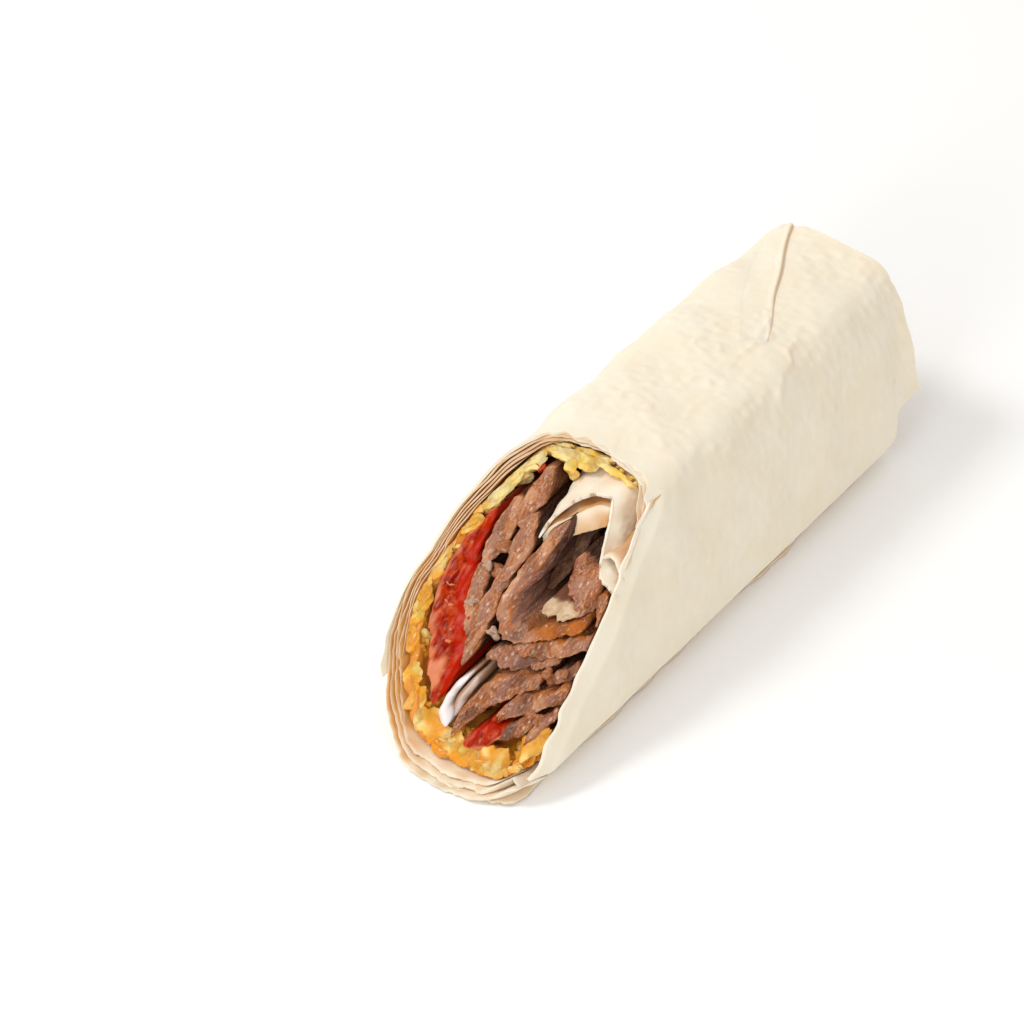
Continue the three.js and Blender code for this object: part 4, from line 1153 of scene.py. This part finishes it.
# Painted shade on the sides behind the cut.
shell("fat_and_sinew_strip", rings, fat, "meat_fat", ["fat_strip"], grain=np.stack([s, w, d], -1) / 1000,
      deep=0.9 * smoothstep(d, 0.4, 1.6))


# Small bits between the larger pieces, left by the knife: scraps of the meat, onion and tomato, seeds that
# came out of the tomato, crumbs of crisp on the tucked-in bread, and thin orange sauce that has run down the
# far side and along the foot. Each scrap is listed as side, height, size and depth behind the cut.
SCRAPS = {
    "meat": [[6.2, 18.4, 3.0, 0.2], [-16.2, 17.4, 3.2, 0.2], [-18.6, 18.4, 2.4, 0.2], [-17.4, 12.2, 2.6, 0.2],
             [-19.4, 12.2, 2.6, 0.2], [9.2, 27.8, 4.4, 2.6], [8.2, 24.6, 4.2, 3.0], [2.4, 21.4, 3.6, 3.0]],
    "onion": [[11.0, 25.6, 3.0, 0.4], [0.9, 18.7, 2.8, 0.6], [-14.6, 15.3, 1.5, 0.6], [9.6, 20.8, 2.8, 0.5]],
    "tomato": [[12.1, 38.7, 2.4, 0.6], [-10.3, 9.8, 2.4, 0.8]],
}
SEED_LINE = [[16, 23], [14.2, 20], [11.4, 17.2], [8.8, 14.4]]
SEED_COUNT = 6
CRUMB_LINE = [[-1, 42.2], [-6, 42.2], [-10.5, 41.2]]
CRUMB_COUNT = 16
STREWN_MARGIN = 0.9
SAUCE_FROM = 0.03
SAUCE_TO = 0.5
SAUCE_RECESS = 1.8
SEED_COLOUR = "#d97c4a"
SAUCE_COLOUR = "#e2943a"


def lumps(centres, sizes, turns, seed, rough=0.18):
    """Small closed lumps: spheres drawn out to their sizes, turned, and dented by waves."""
    lat = np.linspace(0.04, np.pi - 0.04, 12)[:, None]
    lon = np.linspace(0, 2 * np.pi, 16, endpoint=False)[None, :]
    ball = np.stack([np.sin(lat) * np.cos(lon), np.sin(lat) * np.sin(lon), np.cos(lat) + 0 * lon], -1)
    bodies = []
    for number, (centre, size, turn) in enumerate(zip(centres, sizes, turns)):
        dent = 1 + rough * waves(np.moveaxis(ball, -1, 0), 1.6, seed + number)[..., None]
        bodies.append(centre + (ball * dent * size / 2) @ np.array(Euler(turn).to_matrix()).T)
    return bodies


def scraps(kind, seed):
    """Lumps of one kind, a little longer than high."""
    y, z, size, behind = np.array(SCRAPS[kind], float).T
    draw = np.random.default_rng(seed)
    sizes = size[:, None] * np.array([0.9, 1.0, 0.75]) * draw.uniform(0.85, 1.1, (len(size), 3))
    turns = draw.uniform(-0.6, 0.6, (len(size), 3))
    return lumps(placed(cut_x(z) + behind, y, z), sizes, turns, seed, 0.3)


def strewn(line, count, seed, spread, outs, size):
    """Lumps strewn along a line across the roll: count places, each moved by up to the spread."""
    draw = np.random.default_rng(seed)
    spots = spline(line, 200)[draw.integers(0, 200, count)] + draw.uniform(-1, 1, (count, 2)) * spread
    y, z = keep_inside(spots[:, 0], spots[:, 1], STREWN_MARGIN)
    centres = placed(cut_x(z) - draw.uniform(*outs, count), y, z)
    sizes = draw.uniform(0.6, 1.3, (count, 1)) * np.array(size)
    return lumps(centres, sizes, draw.uniform(-0.8, 0.8, (count, 3)), seed)


def all_over(bodies, **values):
    """The same extra value for every point of the bodies, under each name."""
    return {name: [np.full(body.shape[:2], value) for body in bodies] for name, value in values.items()}


def moist_material(name, colour, roughness):
    """One soft, wet colour with some light going through it: the skin of a seed, or thin sauce."""
    material, tree = new_material(name)
    surface = add_node(tree, "BsdfPrincipled", {
        "Base Color": colour, "Roughness": roughness, "Specular IOR Level": 0.3,
        "Subsurface Weight": 0.35, "Subsurface Radius": (1.0, 0.6, 0.3), "Subsurface Scale": 0.001,
    })
    add_node(tree, "OutputMaterial", {"Surface": surface.outputs[0]})
    return material


# The meat scraps take a little painted shade and painted light.
bodies = scraps("meat", 1400)
shell("roast_meat_scraps", bodies, meat, "meat", grain=[body / 1000 for body in bodies],
      **all_over(bodies, crust=0.3, deep=0.1, grey=0.35, light=0.1))
bodies = scraps("onion", 1430)
shell("onion_bits", bodies, onion, "onion", grain=[body / 1000 for body in bodies],
      **all_over(bodies, clear=0.88))
bodies = scraps("tomato", 1450)
shell("tomato_bits", bodies, tomato, "tomato", **all_over(bodies, core=0.1, clear=0.5))
bodies = strewn(SEED_LINE, SEED_COUNT, 1470, 1.0, (0.1, 0.4), (0.6, 1.2, 0.6))
shell("tomato_seeds", bodies, moist_material("tomato_seed_wet", SEED_COLOUR, 0.3), "tomato")
bodies = strewn(CRUMB_LINE, CRUMB_COUNT, 1500, 0.5, (-5, 0), (1.0, 1.5, 1.0))
shell("crisp_crumbs", bodies, crisp, "crisps", **all_over(bodies, toast=0.1, sauce=0.1))

t = np.linspace(SAUCE_FROM, SAUCE_TO, 220)
rows = np.linspace(0, 30, 60)[:, None]
s = t * SPACE_LENGTH
ends = smoothstep(np.minimum(t - SAUCE_FROM, SAUCE_TO - t), -0.01, 0.05)
level = (1.9 + 0.4 * waves([rows, s], 7, 1540)) * smoothstep(rows + 0.3, 0, 1.2) * ends
recess = SAUCE_RECESS + 0.9 * (1 - smoothstep(t, 0.2, 0.3)) + 0.6 * waves([s], 7, 1541)
rings = lining(t, cut_x(on_ring(SPACE, t)[:, 1]) + recess + rows, 0.3, 0.3 + level)
shell("orange_sauce", rings, moist_material("thin_orange_sauce", SAUCE_COLOUR, 0.15), "sauce")


bpy.context.view_layer.update()
